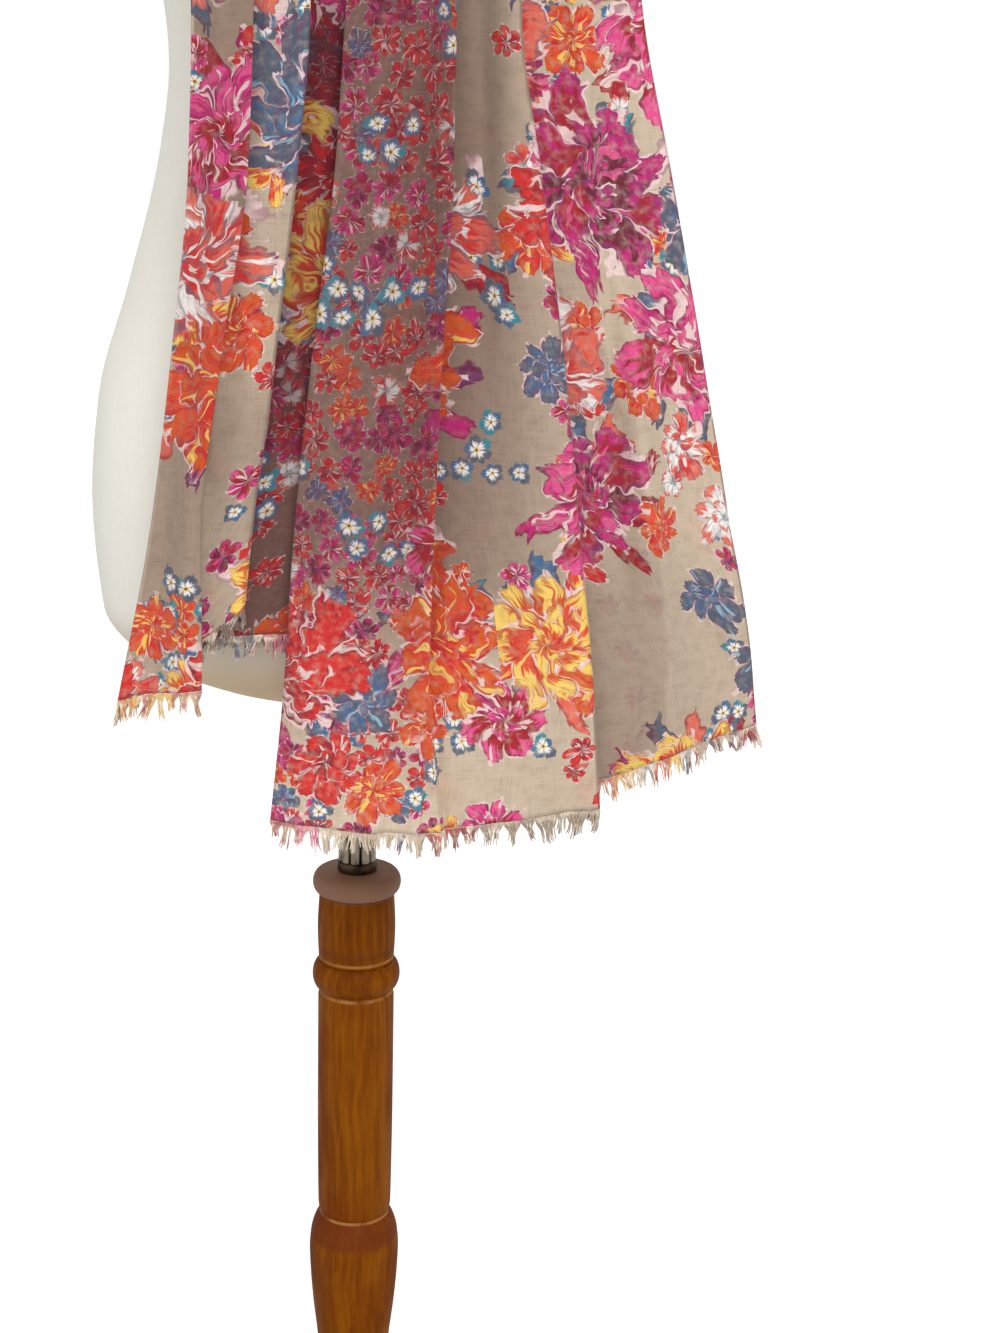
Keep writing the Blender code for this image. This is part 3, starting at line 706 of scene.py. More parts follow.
def paint_ring(tree, tiles, nudge, under, row):
    """Paints one ring of petals of each flower over what is under it."""
    ring = petals_on(tree, tiles, nudge, row)
    along, streak, feather, kind = (ring[name] for name in ("Along", "Streak", "Feather", "Kind"))
    petal = blend(tree, calc(tree, "GREATER_THAN", ring["Pick"], 0.60),
                  chart(tree, kind, [paints.most for paints in KINDS]),
                  chart(tree, kind, [paints.others for paints in KINDS]))
    outer = spread(tree, calc(tree, "MULTIPLY_ADD", feather, 0.8, along), 1.06, 1.20)
    petal = blend(tree, outer, petal, chart(tree, kind, [paints.tips for paints in KINDS]))
    lines = chart(tree, kind, [paints.lines for paints in KINDS])
    inner = calc(tree, "MULTIPLY_ADD", feather, 0.5, along)
    petal = blend(tree, spread(tree, inner, 0.56, 0.44, 0.0, 0.75), petal, lines)
    light = calc(tree, "MULTIPLY_ADD", along, -0.10, streak)
    petal = blend(tree, spread(tree, light, 0.535, 0.575, 0.0, 0.92), petal,
                  chart(tree, kind, [paints.marks for paints in KINDS]))
    stroke = spread(tree, calc(tree, "ABSOLUTE", calc(tree, "SUBTRACT", feather, 0.44)), 0.035, 0.012)
    petal = glaze(tree, stroke, 0.55, petal, lines)
    petal = glaze(tree, ring["Line"], 0.60, petal, lines)
    patchy = spread(tree, streak, 0.42, 0.54, 0.0, row.rim)
    colour = glaze(tree, ring["Edge"], patchy, under, BLUSH)
    return blend(tree, ring["Petal"], colour, petal)


def print_colour(tree, uv):
    """The print: open flowers, posies and small clusters over a taupe ground, with painted shade in its
    recesses and beside fold edges.
    """
    large, middling, posies, clusters = (
        add(tree, "ShaderNodeUVMap", uv_map=bed.name).outputs[0] for bed in BEDS
    )
    ground = add(tree, "ShaderNodeAttribute", attribute_name="ground").outputs
    parts = add(tree, "ShaderNodeSeparateColor", {0: ground["Color"]}).outputs
    pale, crowded, seen_through = parts[0], parts[1], parts[2]

    shaken = add(tree, "ShaderNodeTexNoise", {"Vector": uv, "Scale": 42.0, "Detail": 2.0},
                 noise_dimensions="2D").outputs["Color"]
    shaken = vector_calc(tree, "SUBTRACT", shaken, (0.5, 0.5, 0.5))
    broad, fine = (vector_calc(tree, "MULTIPLY", shaken, (by, by, 0.0)) for by in (0.42, 0.60))

    # The ground: taupe to pale khaki, with painted shade below 0, darker between close posies (deeper
    # print there, and painted shade in the recesses), and faint washes.
    bare = blend(tree, pale, TAUPE, KHAKI)
    bare = blend(tree, spread(tree, pale, 0.0, -1.0, 0.0, 0.8), bare, PAINTED_SHADE)
    # Where posies crowd on the least pale ground: deeper print there, and painted shade in the recesses
    # between layers.
    deep_print_and_shade = calc(tree, "MULTIPLY", crowded, calc(tree, "SUBTRACT", 1.0, pale))
    colour = glaze(tree, deep_print_and_shade, 0.32, bare, PAINTED_SHADE)
    wash = spread(tree, cloudy(tree, uv, 22.0, 2.0), 0.56, 0.85, 0.0, 0.22)
    colour = blend(tree, wash, colour, CORAL)

    # Leaves round the largest flowers.
    leaf = petals_on(tree, large, broad, LEAVES)
    leaf_paint = chart(tree, leaf["Pick"], (TEAL, PURPLE, SLATE, CORAL, MAGENTA, BLUSH, STEEL, CRIMSON))
    leaf_paint = glaze(tree, leaf["Line"], 0.6, leaf_paint, MAROON)
    colour = blend(tree, leaf["Petal"], colour, leaf_paint)

    # Close posies, clusters of small blue and white flowers, and the open flowers.
    for row in POSY_RINGS:
        colour = paint_ring(tree, posies, fine, colour, row)
    # Plum over the close posies there: deeper print, and painted shade in the recesses between layers.
    colour = glaze(tree, deep_print_and_shade, 0.36, colour, PLUM_PRINT_AND_SHADE)
    small = petals_on(tree, clusters, fine, STARS)
    hue = chart(tree, small["Pick"], (STEEL, SLATE, STEEL, TEAL, SLATE))
    star = blend(tree, spread(tree, calc(tree, "MULTIPLY_ADD", small["Feather"], 0.6, small["Along"]),
                              0.72, 0.94), WHITE, hue)
    star = blend(tree, spread(tree, small["Line"], 0.2, 0.8, 0.0, 0.85), star, hue)
    colour = glaze(tree, small["Edge"], STARS.rim, colour, hue)
    colour = blend(tree, small["Petal"], colour, star)
    colour = blend(tree, spread(tree, small["Along"], 0.24, 0.18), colour, YELLOW)
    colour = blend(tree, spread(tree, small["Along"], 0.13, 0.09), colour, SLATE)
    for tiles, rows in ((middling, MIDDLING_RINGS), (large, LARGE_RINGS)):
        for row in rows:
            colour = paint_ring(tree, tiles, broad, colour, row)
    # More of that plum painted shade, over the open flowers as well.
    colour = glaze(tree, deep_print_and_shade, 0.18, colour, PLUM_PRINT_AND_SHADE)

    # The layer behind shows dimly where the cloth lies double.
    repeats = vector_calc(tree, "MULTIPLY", uv, (34.0 * TILE, 34.0 * TILE, 0.0))
    behind = petals_on(tree, repeats, fine, SEEN_THROUGH)
    dim = calc(tree, "MULTIPLY", behind["Petal"], seen_through)
    colour = glaze(tree, dim, 0.22, colour, chart(tree, behind["Pick"], (CRIMSON, MAROON, PURPLE, TAUPE)))

    # Thin and worn places let the ground through.
    thin = spread(tree, cloudy(tree, uv, 210.0, 3.0), 0.42, 0.78, 0.04, 0.44)
    colour = blend(tree, thin, colour, bare)

    # The palest stretches stay clear, and the rest is darkened a little with the painted shade's brown.
    return blend(tree, spread(tree, pale, -0.2, 0.9, 0.20, 0.0), colour, PAINTED_SHADE)


def printed_cloth():
    """Thin slubbed cloth with its painterly print."""
    material, tree, shader = new_finish("printed_cloth", 0.86, Sheen_Weight=0.12,
                                        Sheen_Roughness=0.5, Specular_IOR_Level=0.18)
    uv = add(tree, "ShaderNodeUVMap", uv_map="cloth").outputs[0]
    weave = use(tree, WEAVE, {"Point": uv, "Threads": 1150.0, "Slub": 0.7}).outputs
    worn = blend(tree, weave["Tone"], (0.78, 0.77, 0.76, 1.0), (1.0, 1.0, 1.0, 1.0))
    tree.links.new(blend(tree, 1.0, print_colour(tree, uv), worn, "MULTIPLY"), shader.inputs["Base Color"])
    bump(tree, shader, weave["Height"], 0.35, 0.0004)
    return material


def fringe_yarn():
    """Loose warp ends, printed as the cloth above them is, and paler where they fray."""
    material, tree, shader = new_finish("fringe_yarn", 0.9, Sheen_Weight=0.2)
    point = add(tree, "ShaderNodeTexCoord").outputs["Object"]
    uv = add(tree, "ShaderNodeUVMap", uv_map="cloth").outputs[0]
    yarn = blend(tree, spread(tree, cloudy(tree, point, 400.0, 1.0), 0.3, 0.7), KHAKI,
                 paint(238, 226, 206))
    bare = spread(tree, cloudy(tree, point, 150.0, 2.0), 0.40, 0.66, 0.15, 0.85)
    tree.links.new(blend(tree, bare, print_colour(tree, uv), yarn), shader.inputs["Base Color"])
    bump(tree, shader, cloudy(tree, point, 2600.0, 1.0), 0.4, 0.0002)
    return material


def cream_linen():
    """The form's close linen cover, a little aged, in a fine even weave, with painted shade low down."""
    material, tree, shader = new_finish("cream_linen", 0.93, Sheen_Weight=0.15, Specular_IOR_Level=0.2)
    point = add(tree, "ShaderNodeTexCoord").outputs["Object"]
    weave = use(tree, WEAVE, {"Point": point, "Threads": 1300.0, "Slub": 0.4})
    aged = spread(tree, cloudy(tree, point, 5.0, 3.0), 0.35, 0.75)
    cover = blend(tree, aged, paint(238, 235, 226), paint(232, 227, 214))
    cover = glaze(tree, weave.outputs["Tone"], 0.16, cover, paint(214, 204, 184))
    height = add(tree, "ShaderNodeSeparateXYZ", {0: point}).outputs[2]
    # Painted shade low down on the underside, warm tan as under the hanging scarf.
    cover = blend(tree, spread(tree, height, 0.745, 0.690, 0.0, 0.85), cover, paint(196, 168, 128))
    tree.links.new(cover, shader.inputs["Base Color"])
    bump(tree, shader, weave.outputs["Height"], 0.30, 0.0003)
    return material


# Bands of another stain round the post, and the heights of edges rubbed pale and given a painted
# highlight.
Band = namedtuple("Band", "low high stain strength")
STAIN_BANDS = (
    Band(0.5365, 0.5600, paint(144, 112, 94), 0.80),
    Band(0.4955, 0.5010, paint(98, 46, 16), 0.45),
    Band(0.2860, 0.3060, paint(96, 40, 16), 0.60),
)
STAIN_EDGE = 0.002
WORN_AND_HIGHLIT_EDGES = (0.4668, 0.3040, 0.4920)


def stained_wood(name, lying=False):
    """Beech under an amber stain: darker streaks and blotches, redder in the turnings.

    The grain runs up the piece, or across it along X in a lying one.
    """
    material, tree, shader = new_finish(name, 0.6, Coat_Weight=0.02, Coat_Roughness=0.4,
                                        Specular_IOR_Level=0.05)
    point = add(tree, "ShaderNodeTexCoord").outputs["Object"]
    turned = add(tree, "ShaderNodeMapping", {"Vector": point, "Rotation": (0.0, math.pi / 2 * lying, 0.0)})
    grain = use(tree, GRAIN, {"Point": turned.outputs[0]})
    wood = blend(tree, grain.outputs["Streak"], paint(112, 55, 0), paint(134, 74, 1))
    wood = glaze(tree, grain.outputs["Blotch"], 0.55, wood, paint(100, 42, 2))
    wood = glaze(tree, grain.outputs["Pore"], 0.40, wood, paint(70, 32, 6))
    height = add(tree, "ShaderNodeSeparateXYZ", {0: point}).outputs[2]
    for band in STAIN_BANDS:
        ring = calc(tree, "MULTIPLY",
                    spread(tree, height, band.low - STAIN_EDGE, band.low + STAIN_EDGE),
                    spread(tree, height, band.high + STAIN_EDGE, band.high - STAIN_EDGE))
        wood = glaze(tree, ring, band.strength, wood, band.stain)
    # Pale rubbed edges, which also paint the highlight that falls along these sharp edges.
    for highlit_worn_edge in WORN_AND_HIGHLIT_EDGES:
        off = calc(tree, "ABSOLUTE", calc(tree, "SUBTRACT", height, highlit_worn_edge))
        rub_and_highlight = calc(tree, "MULTIPLY", spread(tree, off, 0.0016, 0.0004),
                   spread(tree, cloudy(tree, point, 90.0, 2.0), 0.3, 0.6))
        wood = glaze(tree, rub_and_highlight, 0.65, wood, paint(176, 124, 66))
    tree.links.new(wood, shader.inputs["Base Color"])
    gloss = spread(tree, grain.outputs["Blotch"], 0.0, 1.0, 0.52, 0.66)
    tree.links.new(gloss, shader.inputs["Roughness"])
    bump(tree, shader, grain.outputs["Pore"], 0.12, 0.0002)
    return material


def metal_finish(name, bright, dull, roughness):
    """Dulled metal, drawn lengthwise, with darker tarnish."""
    material, tree, shader = new_finish(name, roughness, 1.0)
    point = add(tree, "ShaderNodeTexCoord").outputs["Object"]
    drawn = cloudy(tree, point, 1.0, 2.0, (1400.0, 1400.0, 30.0))
    tarnish = spread(tree, cloudy(tree, point, 120.0, 3.0), 0.40, 0.70)
    tree.links.new(blend(tree, tarnish, bright, dull), shader.inputs["Base Color"])
    tree.links.new(spread(tree, drawn, 0.3, 0.7, roughness - 0.1, roughness + 0.12),
                   shader.inputs["Roughness"])
    bump(tree, shader, drawn, 0.15, 0.0002)
    return material


# ---------------------------------------------------------------- the form and the stand

def build_form(linen, wood):
    """The padded form under its seamed cover, and the cap on its neck."""
    heights = [row.height for row in FORM]
    at = np.interp(np.arange(FORM_STEPS * (len(FORM) - 1) + 1) / FORM_STEPS,
                   np.arange(len(FORM)), heights)
    rings = []
    for height, values in zip(at, follow(at, heights, [row[1:] for row in FORM])):
        *reaches, square = values
        rings.append(round_ring(height, *(reach - COVER_INSET for reach in reaches), square, FORM_SIDES))
    for ring in rings:
        middle = Vector((0.0, 0.0, ring[0].z))
        for point in ring:
            off = min(abs(point.x) if point.y > 0 else 1.0, abs(point.y))
            sunk = COVER_SEAM_DEPTH * math.exp(-(off / COVER_SEAM_WIDTH) ** 2)
            point += (middle - point).normalized() * sunk
    place(skin(rings), "form_cover", linen, "cream_linen", "torso", smooth_below=60)

    top = FORM[-1]
    at = np.linspace(0.0, CAP[-1].height, CAP_STEPS)
    insets = follow(at, [row.height for row in CAP], [row.inset for row in CAP])
    rings = []
    for height, (inset,) in zip(at, insets):
        rings.append(round_ring(FORM_TOP + FIT_GAP + height, top.side - inset, top.front - inset,
                                top.back - inset, top.square, TURNED_SIDES))
    place(skin(rings), "neck_cap_turned", wood, "stained_wood", "neck_cap")


def bead_profile(bead):
    """A bead's half round, from its top edge to its lower edge."""
    turns = []
    for n in range(BEAD_STEPS + 1):
        angle = math.pi * (0.5 - n / BEAD_STEPS)
        turns.append(Turn(
            bead.middle + bead.reach * math.sin(angle),
            bead.radius - BEAD_ROUND + BEAD_ROUND * math.cos(angle),
        ))
    return turns


def smooth_turns(turns):
    """A turned profile with rings between its rows, on smooth curves."""
    at = np.arange(TURNED_STEPS * (len(turns) - 1) + 1) / TURNED_STEPS
    return [Turn(*value) for value in follow(at, np.arange(len(turns)), turns)]


def build_stand(wood, plank, metal, dark):
    """The base, the turned post, and the fluted rod in its collar."""
    place(revolve(smooth_turns(list(reversed(BASE)))), "base_turned", plank, "stained_wood", "base")

    profile = bead_profile(TOP_BEAD)
    run = []
    for row in (*POST, None):
        if isinstance(row, Turn):
            run.append(row)
            continue
        profile += smooth_turns(run)
        run = []
        if row:
            profile += bead_profile(row)
    place(revolve(profile), "post_turned", wood, "stained_wood", "post", smooth_below=50)

    low = POST_TOP + FIT_GAP
    ferrule = [Turn(low + share * FERRULE_HEIGHT, FERRULE_RADIUS - inset) for share, inset in FERRULE]
    place(revolve(ferrule), "ferrule_collar", dark, "dark_metal", "ferrule")

    bottom = POST_TOP + FERRULE_HEIGHT + 2 * FIT_GAP
    top = FORM_UNDERSIDE - FIT_GAP
    outline = []
    steps = ROD_FLUTES * FLUTE_STEPS
    for step in range(steps):
        share = (step / FLUTE_STEPS) % 1.0
        groove = math.exp(-((share - GROOVE_PLACE) / GROOVE_WIDTH) ** 2)
        land = LAND_RISE * math.cos(2 * math.pi * (share - LAND_PLACE))
        radius = ROD_RADIUS - ROD_INSET + land - GROOVE_DEPTH * groove
        turn = 2 * math.pi * step / steps
        outline.append((radius * math.cos(turn), radius * math.sin(turn)))
    rings = [[Vector((x, y, height)) for x, y in outline] for height in (bottom, top)]
    place(skin(rings), "rod_fluted", metal, "aged_metal", "rod", smooth_below=40)


# ---------------------------------------------------------------- the scarf

Section = namedtuple("Section", "origin across outward bow crown stack keys")
Spot = namedtuple("Spot", "key across point cut")     # cut: its place along the flat strip


def section_rows():
    """All the tables' rows from the left hem to the right, as one path."""
    rows = []

    def tail_row(row, side):
        rows.append([0.0, row.depth, row.height, side, 0.0, 0.0, *row[2:]])

    def collar_row(row, side):
        inner = Vector(row.inner)
        reach = (Vector(row.outer) - inner).normalized()
        rows.append([side * inner.x, inner.y, inner.z, side * reach.x, reach.y, reach.z,
                     0.0, COLLAR_CROWN, NECK_STACK, *row[3:]])

    for row in reversed(TAIL_LEFT):
        tail_row(row, -1)
    for row in reversed(COLLAR):
        collar_row(row, -1)
    for row in COLLAR[1:]:
        collar_row(row, 1)
    for row in TAIL_RIGHT:
        tail_row(row, 1)
    rows = np.array(rows)
    keys = rows[:, KEY_COLUMN:]
    middle = rows[:, 0:3] + rows[:, 3:6] * ((keys.min(axis=1) + keys.max(axis=1)) / 2)[:, None]
    along = np.concatenate([[0.0], np.cumsum(np.linalg.norm(np.diff(middle, axis=0), axis=1))])
    return along, rows


ALONG, ROWS = section_rows()
LEFT_SEAM = ALONG[len(TAIL_LEFT) - 1]
RIGHT_SEAM = ALONG[-len(TAIL_RIGHT)]

# The three stretches: the CAD node each stands for, its points across each layer, its
# rows, and where it starts and ends along the path.
Stretch = namedtuple("Stretch", "name node parts rows start end")
STRETCHES = (
    Stretch("scarf_left_end", "scarf_tail_left", (26, 30, 26, 34, 34, 30), 200, ALONG[0], LEFT_SEAM),
    Stretch("scarf_collar", "scarf_neck", (30, 30, 30, 30, 30, 30), 200, LEFT_SEAM, RIGHT_SEAM),
    Stretch("scarf_right_end", "scarf_tail_right", (36, 18, 36, 18, 52, 26), 210, RIGHT_SEAM, ALONG[-1]),
)


def section_at(along):
    """The section at a distance along the path."""
    low, here, high = follow([along - SECTION_STEP, along, along + SECTION_STEP], ALONG, ROWS)
    across = Vector(here[3:6]).normalized()

    def middle(row):
        keys = row[KEY_COLUMN:]
        return Vector(row[0:3]) + Vector(row[3:6]) * float((keys.min() + keys.max()) / 2)

    onward = (middle(high) - middle(low)).normalized()
    outward = onward.cross(across).normalized()
    return Section(Vector(here[0:3]), across, outward, *here[6:KEY_COLUMN], here[KEY_COLUMN:])


def folded_line(keys, stack, parts):
    """The folded cross-section, with round folds: rows of key position, across, depth."""
    depths = [stack * (1 - n / (LAYERS - 1)) for n in range(LAYERS)]
    bend = stack / (LAYERS - 1) / 2
    ways = [float(np.clip((b - a) / (4 * bend), -1, 1)) for a, b in zip(keys, keys[1:])]
    points = []
    for layer in range(LAYERS):
        way = ways[layer]
        room = 0.5 + 0.5 * abs(way)
        start, end = [keys[layer], depths[layer]], [keys[layer + 1], depths[layer]]
        if layer > 0:
            mid = (depths[layer - 1] + depths[layer]) / 2
            start = [keys[layer] + way * bend, mid + (depths[layer] - mid) * room]
            before = points[-1]
            points += [
                (float(layer), *turn) for turn in fold_arc(before[1:], start, ways[layer - 1], way, bend)
            ]
        if layer < LAYERS - 1:
            mid = (depths[layer] + depths[layer + 1]) / 2
            end = [keys[layer + 1] - way * bend, mid + (depths[layer] - mid) * room]
        for n in range(parts[layer] + 1):
            share = n / parts[layer]
            points.append((
                layer + KEY_MARGIN + (1 - 2 * KEY_MARGIN) * share,
                start[0] + (end[0] - start[0]) * share,
                start[1] + (end[1] - start[1]) * share,
            ))
    return points


def fold_arc(start, end, way_in, way_out, bend):
    """The points round a fold between two layers, as a curve that leaves each straight on."""
    reach = 4 / 3 * bend
    first = (start[0] + way_in * reach, start[1])
    last = (end[0] - way_out * reach, end[1])
    made = []
    for n in range(1, BEND_POINTS + 1):
        t = n / (BEND_POINTS + 1)
        weights = ((1 - t) ** 3, 3 * t * (1 - t) ** 2, 3 * t * t * (1 - t), t ** 3)
        made.append(tuple(
            sum(w * p[axis] for w, p in zip(weights, (start, first, last, end))) for axis in (0, 1)
        ))
    return made


def crease_rise(creases, across, height):
    """How far a list of creases lifts the cloth at a point."""
    total = 0.0
    for crease in creases:
        share = (height - crease.top) / (crease.low - crease.top)
        if -CREASE_FADE < share < 1 + CREASE_FADE:
            middle = crease.across_top + (crease.across_low - crease.across_top) * share
            fade = 1.0
            for inside in (share, 1 - share):
                fade *= ease((inside + CREASE_FADE) / (2 * CREASE_FADE))
            total += crease.rise * fade * math.exp(-((across - middle) / crease.width) ** 2)
    return total


def edge_lift(lifts, along, key, across, keys):
    """How far the lifted folds and selvages take a point of the cloth with them."""
    total = 0.0
    for lift in lifts:
        if abs(key - lift.key) < 1:
            wave = noise.noise(Vector((lift.key * LIFT_APART, along * LIFT_WAVES, 2.0)))
            uneven = LIFT_MEAN + LIFT_SWING * wave
            total += lift.rise * uneven * math.exp(-((across - keys[lift.key]) / lift.width) ** 2)
    return total


def soft_lift(along, key, across, depth, section, right):
    """The creases and the small crumple at a point of the cloth, out of its plain form."""
    base = section.origin.z
    outer = depth / section.stack
    if LEFT_SEAM < along < RIGHT_SEAM:
        share = (along - LEFT_SEAM) / (RIGHT_SEAM - LEFT_SEAM)
        lift = crease_rise(CREASES_COLLAR, across, share) * outer
        seam_fade = ease(share / SEAM_SHARE) * ease((1 - share) / SEAM_SHARE)
    else:
        lift = crease_rise(CREASES_RIGHT if right else CREASES_LEFT, across, base) * outer
        seam_fade = ease((TAIL_LEFT[0].height - base) / SEAM_DROP)
        if right and key >= FLAP:
            free = ease((across - section.keys[FRONT_FOLD]) / FLAP_EASE)
            lift = lift * (1 - free) + crease_rise(CREASES_FLAP, across, base) * free
            outer = max(outer, free)
        lift += edge_lift(LIFTS_RIGHT if right else LIFTS_LEFT, along, key, across, section.keys)
    crumple = noise.noise(Vector((across * CRUMPLE_ACROSS, along * CRUMPLE_DOWN, 0.0)))
    crumple *= CRUMPLE * (CRUMPLE_INNER + (1 - CRUMPLE_INNER) * outer)
    return (lift + crumple) * seam_fade


def cloth_line(along, parts):
    """The scarf's middle surface across one section, and the section itself."""
    section = section_at(along)
    right = along > (LEFT_SEAM + RIGHT_SEAM) / 2
    hem, ripple = (HEM_RIGHT, RIPPLE_RIGHT) if right else (HEM_LEFT, RIPPLE_LEFT)
    lowest = ROWS[-1 if right else 0][2]
    base = section.origin.z
    sway = max(0.0, (ripple.starts - base) / (ripple.starts - lowest))
    spots = []
    for key, across, depth in folded_line(section.keys, section.stack, parts):
        lift = (
            depth + SEAT
            - section.bow * (across - section.crown) ** 2
            + ripple.height * sway * math.sin(2 * math.pi * across / ripple.spacing + ripple.shift)
            + soft_lift(along, key, across, depth, section, right)
        )
        point = section.origin + section.across * across + section.outward * lift
        raised = 0.0
        if base < hem.starts:
            ends = np.interp(key, range(LAYERS + 1), hem[1:])
            raised = (hem.starts - base) / (hem.starts - lowest) * (ends - lowest)
        point.z += raised
        spots.append(Spot(key, across, point, along - raised if right else along + raised))
    return spots, section


def cut_runs(spots, right):
    """How far each spot of a section is from the first selvage in the flat cut."""
    runs = [0.0]
    for before, spot in zip(spots, spots[1:]):
        step = spot.point - before.point
        step.z += (spot.cut - before.cut) * (1 if right else -1)
        runs.append(runs[-1] + step.length)
    return runs


# How the print is spread over each layer that shows: rows of height, the share of open
# flowers at the layer's first key and at its second, the share of posies, and how pale
# the ground is at the two keys, where 0 is taupe, 1 is khaki and below 0 is painted shade.
Spread = namedtuple("Spread", "height blooms_first blooms_second posies pale_first pale_second")
PLAIN = (
    Spread(1.5, 0.70, 0.70, 0.25, 0.30, 0.45),
    Spread(0.6, 0.70, 0.70, 0.25, 0.30, 0.45),
)
FRONT_PLEAT = (
    Spread(1.30, 0.00, 0.00, 1.00, 0.10, 0.00), Spread(0.80, 0.00, 0.00, 1.00, 0.25, 0.10),
    Spread(0.74, 0.50, 0.40, 0.90, 0.70, 0.60), Spread(0.63, 1.00, 0.90, 0.80, 1.00, 0.95),
)
PRINT_RIGHT = {
    0: FRONT_PLEAT,
    1: FRONT_PLEAT,
    # Below 0 at this layer's first key, the ground is painted shade: the shadow of the front pleat's edge
    # over it.
    2: (Spread(1.00, 0.00, 0.00, 0.00, -0.60, 0.50), Spread(0.95, 1.00, -0.30, 0.05, -0.50, 0.55),
        Spread(0.78, 1.00, -0.40, 0.05, -0.10, 0.60), Spread(0.73, 0.90, 1.00, 0.05, 0.60, 0.75),
        Spread(0.68, 0.70, 0.20, 0.00, 0.75, 0.75), Spread(0.63, 1.00, 1.00, 0.10, 0.80, 0.75)),
    4: (Spread(0.80, 1.00, 1.00, 0.00, 0.55, 0.75), Spread(0.76, 0.20, 0.30, 0.00, 0.30, 0.70),
        Spread(0.69, 0.00, 0.00, 0.00, 0.30, 0.60), Spread(0.66, 0.00, 0.60, 0.00, 0.25, 0.60)),
}
PRINT_LEFT = {
    0: (Spread(1.10, 0.60, 0.60, 0.05, 0.15, 0.20), Spread(0.88, 0.80, 0.80, 0.10, 0.10, 0.20),
        Spread(0.83, 0.00, 0.00, 0.00, 0.20, 0.30), Spread(0.78, 0.90, 0.90, 0.10, 0.30, 0.30),
        Spread(0.70, 1.00, 1.00, 0.20, 0.60, 0.60)),
    1: (Spread(0.90, 1.00, 1.00, 0.10, 0.60, 0.60), Spread(0.86, 0.00, 0.00, 0.00, 0.35, 0.35),
        Spread(0.79, 0.00, 0.00, 0.00, 0.45, 0.45), Spread(0.77, 0.90, 0.90, 0.00, 0.50, 0.50)),
    # Below 0, this layer's ground is painted shade, as it lies deep in the recess between the other
    # layers.
    3: (Spread(0.92, 1.00, 1.00, 1.00, -0.80, -0.80), Spread(0.88, 0.60, 0.60, 0.90, -0.60, -0.60),
        Spread(0.84, 0.00, 0.00, 0.45, -0.40, -0.40)),
}
SINGLE_EDGE = 0.003         # how sharply the flap turns from double to single cloth
# Painted light through the sheer cloth: the flap's ground is paler where it is single and darker where it
# lies double.
SINGLE_LIGHT_THROUGH = 0.18         # how much paler the flap's ground is where it is single
ROW_PACE = 0.90             # how far apart the beds' rows are, as a share of their columns
GROUP_CLOUDS = 22.0         # how small and how rare the groups of a grouped bed are
GROUP_LEVEL = 0.24
FLOWER_SMALLEST = 0.82      # a flower's reach, as a share of its bed's
FLOWER_LARGEST = 1.15
TILE_MARGIN = 0.01          # how far inside its tile's edge every place is kept


def spread_at(key, height, right):
    """The share of open flowers and of posies, and how pale the ground is, at a point."""
    layer = min(int(key), LAYERS - 1)
    rows = sorted((PRINT_RIGHT if right else PRINT_LEFT).get(layer, PLAIN))
    heights = [row.height for row in rows]
    near, far, posies, first, second = (
        np.interp(height, heights, [row[n] for row in rows]) for n in range(1, len(Spread._fields))
    )
    share = key - layer
    return near + (far - near) * share, posies, first + (second - first) * share


def sow(bed):
    """Scatters the flowers of one bed over the whole flat strip, from hem to hem."""
    chance = random.Random(bed.seed)
    flowers = []
    pace = bed.spacing * ROW_PACE
    for row in range(int(ALONG[-1] / pace) + 2):
        section = section_at(min(ALONG[-1], row * pace))
        turns = np.concatenate([[0.0], np.cumsum(np.abs(np.diff(section.keys)))])
        for column in range(int(turns[-1] / bed.spacing) + 2):
            run = (column + 0.5 * (row % 2) + chance.uniform(-bed.stray, bed.stray)) * bed.spacing
            along = (row + chance.uniform(-bed.stray, bed.stray)) * pace
            reach = bed.reach * chance.uniform(FLOWER_SMALLEST, FLOWER_LARGEST)
            kind = LETTERS.index(chance.choice(bed.kinds))
            luck, turn = chance.random(), chance.uniform(0, 2 * math.pi)
            key = float(np.interp(run, turns, range(LAYERS + 1)))
            right = along > (LEFT_SEAM + RIGHT_SEAM) / 2
            blooms, posies, _ = spread_at(key, section.origin.z, right)
            share = blooms if bed.open_flowers else posies
            if bed.grouped:
                cloud = noise.noise(Vector((run, along, 0.0)) * GROUP_CLOUDS)
                share = (share > 0) * (cloud > GROUP_LEVEL)
            if luck < share:
                flowers.append((run, along, reach, turn, kind))
    return np.array(flowers)


def tiles_for(flowers, corners):
    """The face corners' places on the tile of the flower that covers each face."""
    middles = corners.mean(axis=1)
    nearest = np.zeros(len(corners), int)
    closest = np.full(len(corners), 1e9)
    for n, (run, along, reach, _, _) in enumerate(flowers):
        close = np.hypot(middles[:, 0] - run, middles[:, 1] - along) / reach
        better = close < closest
        nearest[better] = n
        closest[better] = close[better]
    run, along, reach, turn, kind = flowers[nearest].T
    local = (corners - np.stack([run, along], axis=1)[:, None]) / reach[:, None, None]
    cos, sin = np.cos(turn)[:, None], np.sin(turn)[:, None]
    across = local[:, :, 0] * cos - local[:, :, 1] * sin
    onward = local[:, :, 0] * sin + local[:, :, 1] * cos
    limit = TILE / 2 - TILE_MARGIN
    return np.stack([
        (nearest[:, None] + 0.5) * TILE + np.clip(across, -limit, limit),
        (kind[:, None] + 0.5) * TILE + np.clip(onward, -limit, limit),
    ], axis=2)


